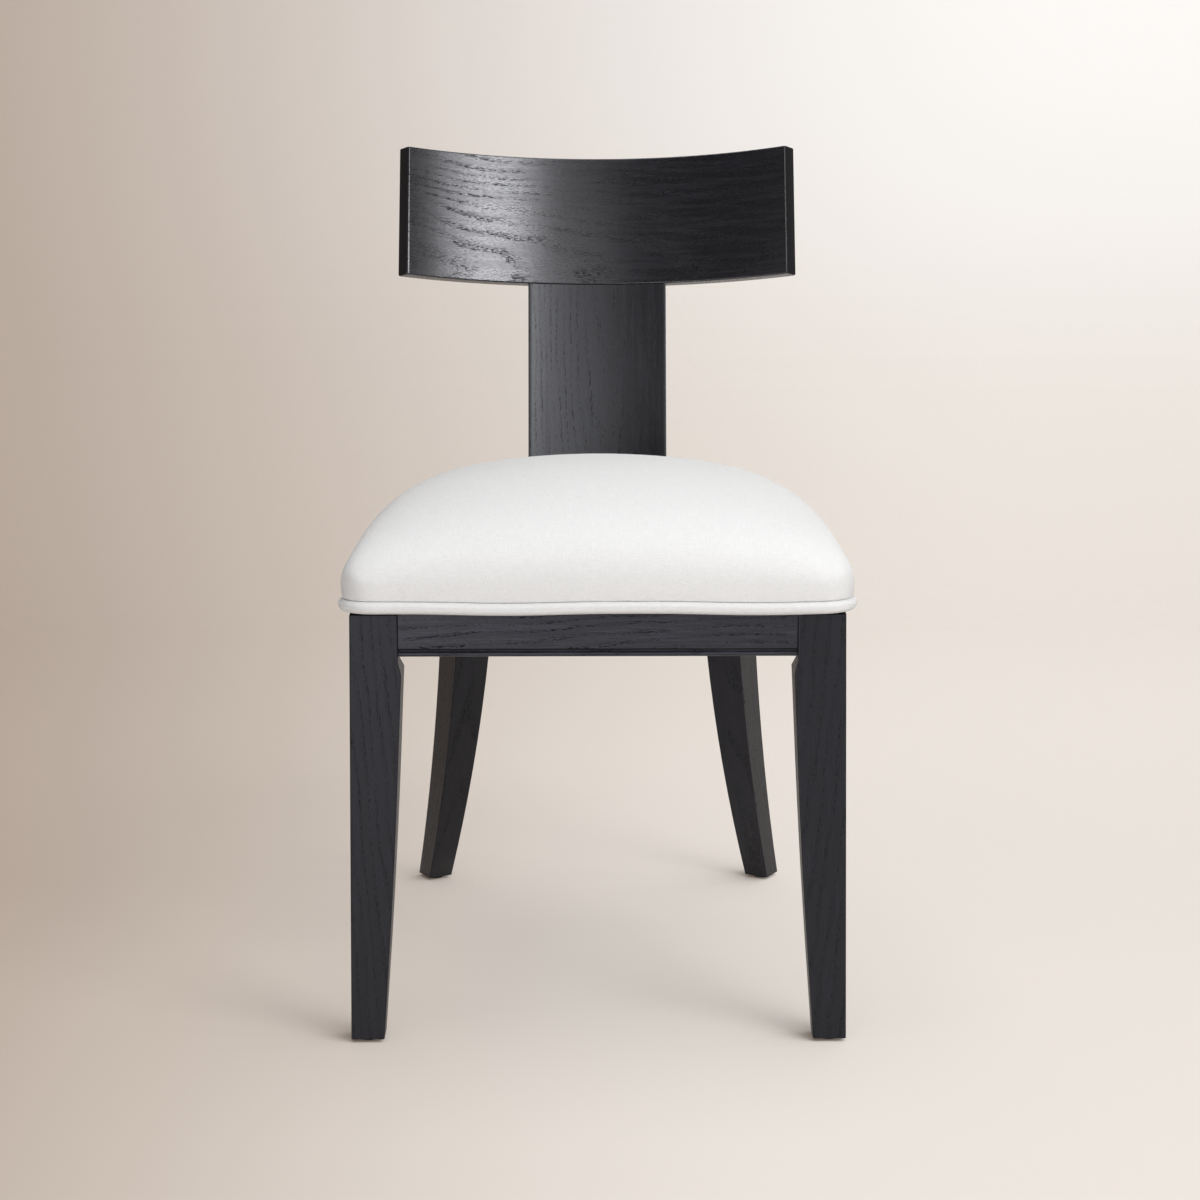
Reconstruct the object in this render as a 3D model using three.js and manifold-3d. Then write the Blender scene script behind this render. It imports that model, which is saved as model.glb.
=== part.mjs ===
// Klismos dining chair: black stained oak, a T-shaped back and a crowned upholstered seat.
// Millimetres, +Z up. The chair faces -Y, stands on z = 0 and is symmetric about x = 0.
// While it is being laid out, y = 0 is the front face of the front legs.

import * as THREE from 'three';
import { mergeVertices } from 'three/addons/utils/BufferGeometryUtils.js';
import Module from 'manifold-3d';

const wasm = await Module();
wasm.setup();

// Fits
const gap = 0.3; // air between two pieces that are cut to one another
const overrun = 3; // a cutter runs this far past the face that it opens
const edgeSteps = 2; // facets round an eased edge

// Seat frame
const frameTop = 419; // top of the legs and aprons above the floor
const frontWidth = 465; // over the outer faces of the front legs at the frame top
const apronHeight = 40.5;
const apronThickness = 22;
const apronRecess = 2.5; // aprons stand back from the leg faces
const beadRadius = 2.5; // bead along the lower edge of the aprons
const beadRecess = 1; // bead stands back from the apron face
const quirkHeight = 3.1; // groove above the bead
const rearRailThickness = 48;
const beadSteps = 6;

// Tenons of the aprons
const tenonThickness = 8;
const tenonHeight = 25;
const tenonLength = 18;
const tenonDrop = 7; // from the frame top down to the tenon
const tenonRoot = 40; // a tenon's stock runs this far back into its own piece

// Front legs: square top block, a small shoulder, then a taper on the two inner faces
const frontLegTop = 45;
const frontLegFoot = 31.8;
const frontLegSwell = 1.7; // the tapered faces swell this much halfway down
const frontLegSteps = 8;
const frontLegSplay = 5.3; // the foot stands this much further out than the top
const shoulderDrop = 4.6; // from the apron's lower edge down to the shoulder
const shoulderRise = 12.6;
const shoulderStep = 2.9;
const cornerCutMargin = 1.5; // the corner cut starts this far behind the apron
const legEase = 1.2;

// Rear legs: square section, turned outwards, swept in a sabre curve
const rearLegInset = 93.3; // from the front leg's outer face in to the rear leg's centre, at the frame top
const rearLegY = 478.7; // behind the front legs' front face
const rearLegTop = 45.5;
const rearLegFoot = 28.2;
const rearLegSwell = 1.9; // the taper swells this much halfway down
const rearLegTurn = THREE.MathUtils.degToRad(28.9);
const sabreRadius = 1262;
const sabreUpright = 95; // the curve would be upright this far above the frame top
const sabreSteps = 12;
const featherBack = 7; // side aprons end this far before the leg's outer rear corner
const cutterReach = 91; // a cutter along a leg's face clears this far beyond the leg's centre

// Back: crest rail and splat share one curved, leaning face
const backLean = THREE.MathUtils.degToRad(14.96);
const backRadius = 351; // front face, seen along the lean
const boardThickness = 18;
const crestChord = 409.7; // between the front corners of the crest rail, halfway up
const crestHeight = 140.3;
const crestFlare = 1.7; // each end stands this much further out at the lower edge than at the upper
const crestRise = 261; // from the frame top up to the crest rail's lower edge
const crestEase = 1.5;
const splatWidth = 151;
const splatBehindLeg = 5.3; // splat's front face behind the rear leg's centre, at the frame top
const splatEase = 0.8;
const splatTenonThickness = 9;
const splatTenonWidth = 120;
const splatTenonDepth = 24;
const railLip = 28; // rear rail in front of the splat's face
const crestFacets = 36;
const splatFacets = 14;

// Dowels between splat and crest rail
const dowelRadius = 4;
const dowelLength = 44;
const dowelSpacing = 40; // along the chord
const dowelPlaces = [-1, 0, 1];
const roundSides = 16;

// Corner blocks and their screws
const blockHeight = 28;
const blockReach = 74; // along each apron from the inside corner
const screwRadius = 2;
const screwHeadRadius = 4;
const screwHeadHeight = 2.6;
const screwPoint = 3.5;
const blockScrewLength = 30;
const blockScrewBite = 13; // into the apron
const blockScrewShare = 0.56; // of the block's reach, from the corner
const seatScrewLength = 30;
const seatScrewBite = 9; // into the seat board
const seatScrewShare = 0.3; // from the inside corner towards each end of the block

// Seat
const seatBoardThickness = 12;
const fabric = 1;
const flangeWidth = 20; // cover turned under the board
const weltRadius = 6;
const weltReach = 9.4; // outermost line of the welt outside the frame's outline
const weltLift = 2; // welt above the frame top
const seatCornerRadius = 24;
const seatBackClear = 0.6; // welt in front of the splat
const bulge = 6.8; // widest line of the cushion outside the frame's outline
const bulgeRise = 15; // widest line above the welt
const bulgeEase = 0.8; // the side stands this much further in halfway up to its widest line
const seamShares = [1, 0.78, 0.56, 0.34]; // of a half turn: where the cover hugs the welt
const crownHeight = 87.6; // from the widest line up to the crown
const crownAt = 184; // crown behind the front of the seat
const crossPower = 1.85; // fall of the crown from the middle to the sides: the higher, the flatter
const crossRoll = 3.7; // roundness of the sides: the higher, the steeper they rise
const lengthPower = 1.7; // the same from the middle to the front and the back
const lengthRoll = 2.6;
const crownRings = 8;
const crownSpread = 2.4; // crowds the rings towards the widest line
const cornerSteps = 4;
const sideSteps = 6;
const weltSides = 10;
const ventRadius = 10;
const ventSpacing = 110;
const ventPlaces = [[-1, -1], [1, -1], [-1, 1], [1, 1]];
const dustInset = 4; // dust cover inside the turned-under fabric
const dustThickness = 1;
const dustCorner = 62; // cut off each corner of the dust cover

// Glides under the feet
const glideHeight = 3.5;
const glideRadius = 9;
const glideEase = 1;
const nailRadius = 1.2;
const nailLength = 20;
const nailPoint = 2.4;
const nailHeadRadius = 3.4;
const nailHeadHeight = 0.9;
const nailHeadLift = 1.1; // nylon under the nail's head

// Finishes
const blackOak = { color: 0x1b1b1d, roughness: 0.5, metalness: 0 };
const birchPly = { color: 0xc9a878, roughness: 0.75, metalness: 0 };
const paleFoam = { color: 0xe9dfc0, roughness: 0.95, metalness: 0 };
const whiteLinen = { color: 0xebeae7, roughness: 0.9, metalness: 0 };
const blackCambric = { color: 0x161616, roughness: 0.95, metalness: 0 };
const zincSteel = { color: 0xb9bcc0, roughness: 0.35, metalness: 1 };
const blackNylon = { color: 0x202020, roughness: 0.6, metalness: 0 };
const beech = { color: 0xd0a877, roughness: 0.7, metalness: 0 };

// Places worked out from the sizes above
const apronBottom = frameTop - apronHeight;
const shoulderTop = apronBottom - shoulderDrop;
const shoulderFoot = shoulderTop - shoulderRise;
const frontLegInner = frontWidth / 2 - frontLegTop;
const rearLegX = frontWidth / 2 - rearLegInset;
const cornerCut = frontLegTop - apronRecess - apronThickness - cornerCutMargin;
const splatFootY = rearLegY + splatBehindLeg;
const rearRailFront = splatFootY - railLip;
const crestBottomY = splatFootY + crestRise * Math.tan(backLean);
const crestBottomZ = frameTop + crestRise;
const splatSag = backRadius - Math.sqrt(backRadius ** 2 - (splatWidth / 2) ** 2);
const seatBack = splatFootY - splatSag / Math.cos(backLean) - seatBackClear - weltReach;
const boardBottom = frameTop + fabric;
const boardTop = boardBottom + seatBoardThickness;
const weltHeight = frameTop + weltLift + weltRadius;
const weltOffset = weltReach - weltRadius;
const seamStep = (Math.PI * (seamShares[0] - seamShares[1])) / 2;
const seamRadius = (weltRadius + gap) / Math.cos(seamStep);
const skirtOffset = weltOffset - seamRadius;
const widestZ = weltHeight + weltRadius + bulgeRise;

// Solids and booleans

// A closed geometry as a solid.
function solidOf(geometry) {
  const bare = geometry.clone();
  for (const attribute of Object.keys(bare.attributes)) {
    if (attribute !== 'position') bare.deleteAttribute(attribute);
  }
  const merged = mergeVertices(bare);
  const vertProperties = new Float32Array(merged.attributes.position.array);
  const triVerts = new Uint32Array(merged.index.array);
  return new wasm.Manifold(new wasm.Mesh({ numProp: 3, vertProperties, triVerts }));
}

// A solid back as a geometry.
function geometryOf(solid) {
  const mesh = solid.getMesh();
  const geometry = new THREE.BufferGeometry();
  const count = mesh.vertProperties.length / mesh.numProp;
  const positions = new Float32Array(count * 3);
  for (let i = 0; i < count; i++) {
    for (let axis = 0; axis < 3; axis++) {
      positions[i * 3 + axis] = mesh.vertProperties[i * mesh.numProp + axis];
    }
  }
  geometry.setAttribute('position', new THREE.BufferAttribute(positions, 3));
  geometry.setIndex(Array.from(mesh.triVerts));
  return geometry;
}

function cut(geometry, cutters) {
  let solid = solidOf(geometry);
  for (const cutter of cutters) solid = solid.subtract(solidOf(cutter));
  return geometryOf(solid);
}

function joined(geometry, others) {
  let solid = solidOf(geometry);
  for (const other of others) solid = solid.add(solidOf(other));
  return geometryOf(solid);
}

// The same piece for the other side of the chair.
function mirrored(geometry) {
  const copy = geometry.index ? geometry.toNonIndexed() : geometry.clone();
  const position = copy.attributes.position;
  const corner = new THREE.Vector3();
  const other = new THREE.Vector3();
  for (let i = 0; i < position.count; i += 3) {
    corner.fromBufferAttribute(position, i + 1);
    other.fromBufferAttribute(position, i + 2);
    position.setXYZ(i, -position.getX(i), position.getY(i), position.getZ(i));
    position.setXYZ(i + 1, -other.x, other.y, other.z);
    position.setXYZ(i + 2, -corner.x, corner.y, corner.z);
  }
  return copy;
}

// A closed skin through rings of equally many points, flat at both ends.
// The rings run anticlockwise when seen from the last ring.
function loft(rings) {
  const count = rings[0].length;
  const positions = rings.flat().flatMap((point) => point.toArray());
  const index = [];
  for (let ring = 0; ring + 1 < rings.length; ring++) {
    for (let i = 0; i < count; i++) {
      const a = ring * count + i;
      const b = ring * count + ((i + 1) % count);
      index.push(a, b, b + count, a, b + count, a + count);
    }
  }
  const last = (rings.length - 1) * count;
  for (const [p, q, r] of capTriangles(rings[0])) index.push(p, r, q);
  for (const [p, q, r] of capTriangles(rings[rings.length - 1])) index.push(last + p, last + q, last + r);
  return bufferGeometry(positions, index);
}

function capTriangles(ring) {
  const flat = ring.map((point) => new THREE.Vector2(point.x, point.y));
  return THREE.ShapeUtils.triangulateShape(flat, []);
}

// A closed skin through rings that shrink to a pole at each end. Each quad is split along its
// shorter diagonal, so that one skin keeps its distance to the next.
function domedLoft(rings, firstPole, lastPole) {
  const count = rings[0].length;
  const points = [...rings.flat(), firstPole, lastPole];
  const first = rings.length * count;
  const index = [];
  for (let i = 0; i < count; i++) {
    const next = (i + 1) % count;
    index.push(first, next, i);
    for (let ring = 0; ring + 1 < rings.length; ring++) {
      const a = ring * count + i;
      const b = ring * count + next;
      index.push(...splitQuad(points, a, b, b + count, a + count));
    }
    const last = (rings.length - 1) * count;
    index.push(last + i, last + next, first + 1);
  }
  return bufferGeometry(points.flatMap((point) => point.toArray()), index);
}

function splitQuad(points, a, b, c, d) {
  const straight = points[a].distanceTo(points[c]) <= points[b].distanceTo(points[d]);
  return straight ? [a, b, c, a, c, d] : [a, b, d, b, c, d];
}

// A round bar bent along a closed path, which runs anticlockwise in plan.
function closedTube(path, radius, sides) {
  const points = [];
  const index = [];
  const count = path.length;
  for (let i = 0; i < count; i++) {
    const before = path[(i + count - 1) % count];
    const after = path[(i + 1) % count];
    const along = after.clone().sub(before).normalize();
    const out = new THREE.Vector3(along.y, -along.x, 0);
    for (let j = 0; j < sides; j++) {
      const angle = (j / sides) * Math.PI * 2;
      const point = path[i].clone().addScaledVector(out, radius * Math.cos(angle));
      point.z += radius * Math.sin(angle);
      points.push(point);
      const next = ((i + 1) % count) * sides;
      const a = i * sides + j;
      const b = i * sides + ((j + 1) % sides);
      const c = next + ((j + 1) % sides);
      const d = next + j;
      index.push(a, d, c, a, c, b);
    }
  }
  return bufferGeometry(points.flatMap((point) => point.toArray()), index);
}

function bufferGeometry(positions, index) {
  const geometry = new THREE.BufferGeometry();
  geometry.setAttribute('position', new THREE.Float32BufferAttribute(positions, 3));
  geometry.setIndex(index);
  return geometry;
}

// A box given by its lowest and highest corners.
function boxBetween(low, high) {
  const size = high.clone().sub(low);
  const centre = high.clone().add(low).multiplyScalar(1 / 2);
  const box = new THREE.BoxGeometry(size.x, size.y, size.z);
  return box.translate(centre.x, centre.y, centre.z);
}

// A plan outline raised between two heights.
function slab(outline, bottom, top) {
  return loft([
    outline.map((point) => new THREE.Vector3(point.x, point.y, bottom)),
    outline.map((point) => new THREE.Vector3(point.x, point.y, top)),
  ]);
}

// A rod from one point to another.
function rod(from, to, radius) {
  const along = to.clone().sub(from);
  const geometry = new THREE.CylinderGeometry(radius, radius, along.length(), roundSides);
  geometry.applyQuaternion(turnedAlong(along));
  const centre = from.clone().add(to).multiplyScalar(1 / 2);
  return geometry.translate(centre.x, centre.y, centre.z);
}

// The turn that brings a turned shape's axis, +Y, into a direction.
function turnedAlong(direction) {
  return new THREE.Quaternion().setFromUnitVectors(new THREE.Vector3(0, 1, 0), direction.clone().normalize());
}

// A plan outline of straight sides with its corners rounded, anticlockwise.
function roundedOutline(corners, radius, arcSteps, lineSteps) {
  const outline = [];
  corners.forEach((corner, i) => {
    const before = corners[(i + corners.length - 1) % corners.length];
    const after = corners[(i + 1) % corners.length];
    const back = before.clone().sub(corner).normalize();
    const ahead = after.clone().sub(corner).normalize();
    const half = Math.acos(back.dot(ahead)) / 2;
    const centre = corner.clone().addScaledVector(back.clone().add(ahead).normalize(), radius / Math.sin(half));
    const start = corner.clone().addScaledVector(back, radius / Math.tan(half)).sub(centre);
    const sweep = Math.PI - half * 2;
    for (let step = 0; step <= arcSteps; step++) {
      const turned = start.clone().rotateAround(new THREE.Vector2(), (sweep * step) / arcSteps);
      outline.push(centre.clone().add(turned));
    }
    outline.push(...between(outline[outline.length - 1], filletStart(corner, after, corners, i, radius), lineSteps));
  });
  return outline;
}

// Where the next corner's rounding starts.
function filletStart(corner, after, corners, i, radius) {
  const beyond = corners[(i + 2) % corners.length];
  const back = corner.clone().sub(after).normalize();
  const ahead = beyond.clone().sub(after).normalize();
  const half = Math.acos(back.dot(ahead)) / 2;
  return after.clone().addScaledVector(back, radius / Math.tan(half));
}

// The points that divide a line into equal steps, without its ends.
function between(from, to, steps) {
  const points = [];
  for (let step = 1; step < steps; step++) points.push(from.clone().lerp(to, step / steps));
  return points;
}

// Front legs, built for the chair's right-hand side (+x)

// One level of the leg. The outer face leans out, and the inner rear corner may be cut off.
function frontLegRing(z, inner, depth, corner, grow) {
  const splay = (frontLegSplay * (frameTop - z)) / (frameTop - glideHeight);
  const outer = frontWidth / 2 + splay + grow;
  const left = inner - grow;
  const front = -grow;
  const back = depth + grow;
  const ease = legEase;
  const inside = Math.max(corner, ease);
  const outline = [
    [left + ease, front], [outer - ease, front], [outer, front + ease],
    [outer, back - ease], [outer - ease, back], [left + inside, back],
    [left, back - inside], [left, front + ease],
  ];
  return outline.map(([x, y]) => new THREE.Vector3(x, y, z));
}

// The taper from the foot up to the shoulder, slightly swollen like a column.
function frontLegTaper(grow) {
  const { lerp } = THREE.MathUtils;
  const footInner = frontWidth / 2 + frontLegSplay - frontLegFoot;
  const stepInner = frontLegInner - shoulderStep;
  const stepDepth = frontLegTop + shoulderStep;
  const rings = [];
  for (let step = 0; step <= frontLegSteps; step++) {
    const share = step / frontLegSteps;
    const swell = frontLegSwell * Math.sin(Math.PI * share);
    const inner = lerp(footInner, stepInner, share) - swell;
    const depth = lerp(frontLegFoot, stepDepth, share) + swell;
    rings.push(frontLegRing(lerp(glideHeight, shoulderFoot, share), inner, depth, 0, grow));
  }
  return rings;
}

function frontLegBody(grow) {
  return loft([
    ...frontLegTaper(grow),
    frontLegRing(shoulderTop, frontLegInner, frontLegTop, cornerCut, grow),
    frontLegRing(frameTop + grow, frontLegInner, frontLegTop, cornerCut, grow),
  ]);
}

function frontLeg() {
  const foot = frontFootCentre();
  return cut(frontLegBody(0), [
    frontTenon(gap),
    sideTenonFront(gap),
    rod(foot, foot.clone().setZ(glideHeight + nailReach() + gap), nailRadius + gap),
  ]);
}

function frontFootCentre() {
  const x = frontWidth / 2 + frontLegSplay - frontLegFoot / 2;
  return new THREE.Vector3(x, frontLegFoot / 2, glideHeight - overrun);
}

// Rear legs

// Centre of the rear leg at a height: a sabre curve in a plane turned outwards.
function rearLegCentre(z) {
  const upright = frameTop + sabreUpright;
  const sweep = ((upright - z) ** 2 - sabreUpright ** 2) / (2 * sabreRadius);
  const x = rearLegX + sweep * Math.sin(rearLegTurn);
  const y = rearLegY + sweep * Math.cos(rearLegTurn);
  return new THREE.Vector3(x, y, z);
}

function rearLegWidth(z) {
  const share = (z - glideHeight) / (frameTop - glideHeight);
  return THREE.MathUtils.lerp(rearLegFoot, rearLegTop, share) + rearLegSwell * Math.sin(Math.PI * share);
}

// A point in the leg's own turned axes: across it, and along its sweep.
function rearLegPoint(z, across, along) {
  const point = rearLegCentre(z);
  point.x += across * Math.cos(rearLegTurn) + along * Math.sin(rearLegTurn);
  point.y += along * Math.cos(rearLegTurn) - across * Math.sin(rearLegTurn);
  return point;
}

// A block in the leg's turned axes that keeps to the curve. Each limit is a function of height.
function rearLegBlock(low, high, acrossMin, acrossMax, alongMin, alongMax, ease) {
  const rings = [];
  for (let step = 0; step <= sabreSteps; step++) {
    const z = low + ((high - low) * step) / sabreSteps;
    const corners = [
      new THREE.Vector2(acrossMin(z), alongMin(z)), new THREE.Vector2(acrossMax(z), alongMin(z)),
      new THREE.Vector2(acrossMax(z), alongMax(z)), new THREE.Vector2(acrossMin(z), alongMax(z)),
    ];
    const outline = ease > 0 ? roundedOutline(corners, ease, edgeSteps, 1) : corners;
    rings.push(outline.map((corner) => rearLegPoint(z, corner.x, corner.y)));
  }
  return loft(rings);
}

function rearLegBody(grow) {
  const half = (z) => rearLegWidth(z) / 2 + grow;
  const minus = (z) => -half(z);
  return rearLegBlock(glideHeight, frameTop + grow, minus, half, minus, half, legEase);
}

// All that lies beyond the leg's outer or inner face, seen from the apron that meets it.
function rearLegFaceCutter(side) {
  const near = (z) => side * (rearLegWidth(z) / 2 + gap);
  const far = () => -side * cutterReach;
  const reach = () => cutterReach;
  const back = () => -cutterReach;
  const low = apronBottom - overrun;
  const high = frameTop + overrun;
  const acrossMin = side > 0 ? far : near;
  const acrossMax = side > 0 ? near : far;
  return rearLegBlock(low, high, acrossMin, acrossMax, back, reach, 0);
}

function rearLeg() {
  const foot = rearFootCentre();
  return cut(rearLegBody(0), [
    sideTenonRear(gap),
    rearTenon(gap),
    rod(foot, foot.clone().setZ(glideHeight + nailReach() + gap), nailRadius + gap),
  ]);
}

function rearFootCentre() {
  return rearLegCentre(glideHeight).setZ(glideHeight - overrun);
}

// Aprons

// Section of an apron: its face is at depth 0, and the beaded edge is at the bottom.
function apronSection(thickness) {
  const section = new THREE.Shape();
  const beadDepth = beadRecess + beadRadius;
  const beadTop = apronBottom + beadRadius * 2;
  section.moveTo(0, frameTop);
  section.lineTo(0, beadTop + quirkHeight);
  section.lineTo(beadDepth, beadTop + quirkHeight);
  section.lineTo(beadDepth, beadTop);
  section.absarc(beadDepth, apronBottom + beadRadius, beadRadius, Math.PI / 2, Math.PI * 1.5, false);
  section.lineTo(thickness, apronBottom);
  section.lineTo(thickness, frameTop);
  return section;
}

// An apron from one point to another in plan. The points lie on its outer face, and its
// thickness lies to the left of the line between them.
function apron(from, to, thickness) {
  const along = to.clone().sub(from);
  const options = { depth: along.length(), bevelEnabled: false, curveSegments: beadSteps };
  const geometry = new THREE.ExtrudeGeometry(apronSection(thickness), options);
  const ahead = new THREE.Vector3(along.x, along.y, 0).normalize();
  const inward = new THREE.Vector3(-ahead.y, ahead.x, 0);
  const up = new THREE.Vector3(0, 0, 1);
  const frame = new THREE.Matrix4().makeBasis(inward, up, ahead);
  frame.setPosition(from.x, from.y, 0);
  geometry.applyMatrix4(frame);
  return frame.determinant() < 0 ? flipped(geometry) : geometry;
}

// The same surface with its faces turned round.
function flipped(geometry) {
  const copy = geometry.index ? geometry.toNonIndexed() : geometry;
  const position = copy.attributes.position;
  const corner = new THREE.Vector3();
  for (let i = 0; i < position.count; i += 3) {
    corner.fromBufferAttribute(position, i + 1);
    position.setXYZ(i + 1, position.getX(i + 2), position.getY(i + 2), position.getZ(i + 2));
    position.setXYZ(i + 2, corner.x, corner.y, corner.z);
  }
  return copy;
}

// A bar of tenon section centred on a line in plan.
function tenonBar(from, to, grow) {
  const ahead = to.clone().sub(from).normalize();
  const side = new THREE.Vector2(-ahead.y, ahead.x).multiplyScalar(tenonThickness / 2 + grow);
  const end = to.clone().addScaledVector(ahead, grow);
  const outline = [from.clone().sub(side), end.clone().sub(side), end.clone().add(side), from.clone().add(side)];
  const top = frameTop - tenonDrop;
  return slab(outline, top - tenonHeight - grow, top + grow);
}

// Side apron: the line of its outer face on the right-hand side, front end first
function sideLine() {
  const half = rearLegTop / 2;
  const corner = rearLegPoint(frameTop, half, half);
  const front = new THREE.Vector2(frontWidth / 2 - apronRecess, frontLegTop);
  const rear = new THREE.Vector2(corner.x - apronRecess, corner.y);
  const ahead = rear.clone().sub(front).normalize();
  return { front, rear, ahead, inward: new THREE.Vector2(-ahead.y, ahead.x) };
}

// A point on the side apron's middle plane, a distance behind its front end.
function sideMiddle(distance) {
  const { front, ahead, inward } = sideLine();
  return front.clone().addScaledVector(ahead, distance).addScaledVector(inward, apronThickness / 2);
}

function sideTenonFront(grow) {
  return tenonBar(sideMiddle(tenonRoot), sideMiddle(-tenonLength), grow);
}

function sideTenonRear(grow) {
  const { front, rear } = sideLine();
  const end = rear.clone().sub(front).length() - featherBack;
  return tenonBar(sideMiddle(end - tenonRoot), sideMiddle(end), grow);
}

function frontTenon(grow) {
  const y = apronRecess + apronThickness / 2;
  const from = new THREE.Vector2(frontLegInner - tenonRoot, y);
  return tenonBar(from, new THREE.Vector2(frontLegInner + tenonLength, y), grow);
}

function rearTenon(grow) {
  const inner = rearLegPoint(frameTop, -rearLegTop / 2, 0);
  const from = new THREE.Vector2(inner.x - tenonRoot, inner.y);
  return tenonBar(from, new THREE.Vector2(inner.x + tenonLength, inner.y), grow);
}

function frontApron() {
  const end = frontLegInner - gap;
  const face = apron(new THREE.Vector2(-end, apronRecess), new THREE.Vector2(end, apronRecess), apronThickness);
  const body = joined(face, [frontTenon(0), mirrored(frontTenon(0))]);
  const holes = blockScrews.front.filter((screw) => screw.into === 'front').map((screw) => screw.pilot);
  return cut(body, [...holes, ...holes.map(mirrored)]);
}

function sideApron() {
  const { front, rear, ahead } = sideLine();
  const start = front.clone().addScaledVector(ahead, -overrun);
  const end = rear.clone().addScaledVector(ahead, -featherBack);
  const bar = apron(start, end, apronThickness);
  const frontCut = frontCutter();
  const body = joined(cut(bar, [frontCut, rearLegFaceCutter(1)]), [sideTenonFront(0), sideTenonRear(0)]);
  return cut(body, [...blockScrews.front, ...blockScrews.rear].filter((s) => s.into === 'side').map((s) => s.pilot));
}

// All that lies in front of the front leg's rear face.
function frontCutter() {
  const low = new THREE.Vector3(0, -overrun, apronBottom - overrun);
  const high = new THREE.Vector3(frontWidth, frontLegTop + gap, frameTop + overrun);
  return boxBetween(low, high);
}

function rearRail() {
  const outer = rearLegX;
  const back = rearRailFront + rearRailThickness;
  const bar = apron(new THREE.Vector2(outer, back), new THREE.Vector2(-outer, back), rearRailThickness);
  const end = rearLegFaceCutter(-1);
  const body = joined(cut(bar, [end, mirrored(end)]), [rearTenon(0), mirrored(rearTenon(0))]);
  const holes = blockScrews.rear.filter((screw) => screw.into === 'rear').map((screw) => screw.pilot);
  return cut(body, [splatTenon(gap), ...holes, ...holes.map(mirrored)]);
}

// Corner blocks: glued and screwed into the four inside corners of the frame

// The inside corner between two aprons, and the directions along their inner faces.
function frontInsideCorner() {
  const y = apronRecess + apronThickness + gap;
  const { ahead, inward } = sideLine();
  const start = sideMiddle(0).addScaledVector(inward, apronThickness / 2 + gap);
  const corner = start.clone().addScaledVector(ahead, (y - start.y) / ahead.y);
  return { corner, first: new THREE.Vector2(-1, 0), second: ahead, firstName: 'front' };
}

function rearInsideCorner() {
  const y = rearRailFront - gap;
  const { ahead, inward } = sideLine();
  const start = sideMiddle(0).addScaledVector(inward, apronThickness / 2 + gap);
  const corner = start.clone().addScaledVector(ahead, (y - start.y) / ahead.y);
  return { corner, first: new THREE.Vector2(-1, 0), second: ahead.clone().negate(), firstName: 'rear' };
}

// Screws through a corner block, one into each apron.
function screwsOf({ corner, first, second, firstName }) {
  return [
    blockScrew(corner, first, second, firstName),
    blockScrew(corner, second, first, 'side'),
  ];
}

// A screw square to the apron that runs along one edge of the block.
function blockScrew(corner, edge, other, into) {
  const start = corner.clone().addScaledVector(edge, blockReach * blockScrewShare);
  const square = other.clone().addScaledVector(edge, -other.dot(edge)).normalize();
  const z = frameTop - blockHeight / 2;
  const at = (distance) => {
    const point = start.clone().addScaledVector(square, distance);
    return new THREE.Vector3(point.x, point.y, z);
  };
  const tip = at(-blockScrewBite);
  const seat = at(blockScrewLength - blockScrewBite);
  const seatCut = at(blockScrewLength - blockScrewBite - gap);
  return {
    into,
    tip,
    seat,
    pilot: rod(at(-blockScrewBite - gap), at(blockReach), screwRadius + gap),
    bore: rod(seatCut, at(blockReach), screwHeadRadius + gap),
  };
}

const blockScrews = { front: screwsOf(frontInsideCorner()), rear: screwsOf(rearInsideCorner()) };

// The screw that holds the seat board, upright through the block.
function seatScrewPlace({ corner, first, second }) {
  const reach = blockReach * seatScrewShare;
  return corner.clone().addScaledVector(first, reach).addScaledVector(second, reach);
}

function seatScrewLine(insideCorner) {
  const place = seatScrewPlace(insideCorner);
  const tipZ = boardBottom + seatScrewBite;
  const tip = new THREE.Vector3(place.x, place.y, tipZ);
  const seat = new THREE.Vector3(place.x, place.y, tipZ - seatScrewLength);
  return { tip, seat };
}

function seatScrewPilot(insideCorner) {
  const { tip, seat } = seatScrewLine(insideCorner);
  return rod(seat, tip.clone().setZ(tip.z + gap), screwRadius + gap);
}

function cornerBlock(insideCorner, screws, leg) {
  const { corner, first, second } = insideCorner;
  const firstEnd = corner.clone().addScaledVector(first, blockReach);
  const secondEnd = corner.clone().addScaledVector(second, blockReach);
  const outline = [corner, firstEnd, secondEnd];
  const turned = first.cross(second) < 0 ? [corner, secondEnd, firstEnd] : outline;
  const bottom = frameTop - blockHeight;
  const { seat } = seatScrewLine(insideCorner);
  const counterbore = rod(seat.clone().setZ(bottom - overrun), seat.clone().setZ(seat.z + gap), screwHeadRadius + gap);
  return cut(slab(turned, bottom, frameTop), [
    leg,
    ...screws.map((screw) => screw.pilot),
    ...screws.map((screw) => screw.bore),
    seatScrewPilot(insideCorner),
    counterbore,
  ]);
}

// Screws: pan head, plain shank and a point. The tip and the underside of the head place them.
function screw(tip, seat) {
  const length = tip.distanceTo(seat);
  const profile = [
    new THREE.Vector2(0, length),
    new THREE.Vector2(screwRadius, length - screwPoint),
    new THREE.Vector2(screwRadius, 0),
    new THREE.Vector2(screwHeadRadius, 0),
    new THREE.Vector2(screwHeadRadius, -screwHeadHeight / 2),
    new THREE.Vector2(screwHeadRadius / 2, -screwHeadHeight),
    new THREE.Vector2(0, -screwHeadHeight),
  ];
  const geometry = new THREE.LatheGeometry(profile.reverse(), roundSides);
  geometry.applyQuaternion(turnedAlong(tip.clone().sub(seat)));
  return geometry.translate(seat.x, seat.y, seat.z);
}

// Back

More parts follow.
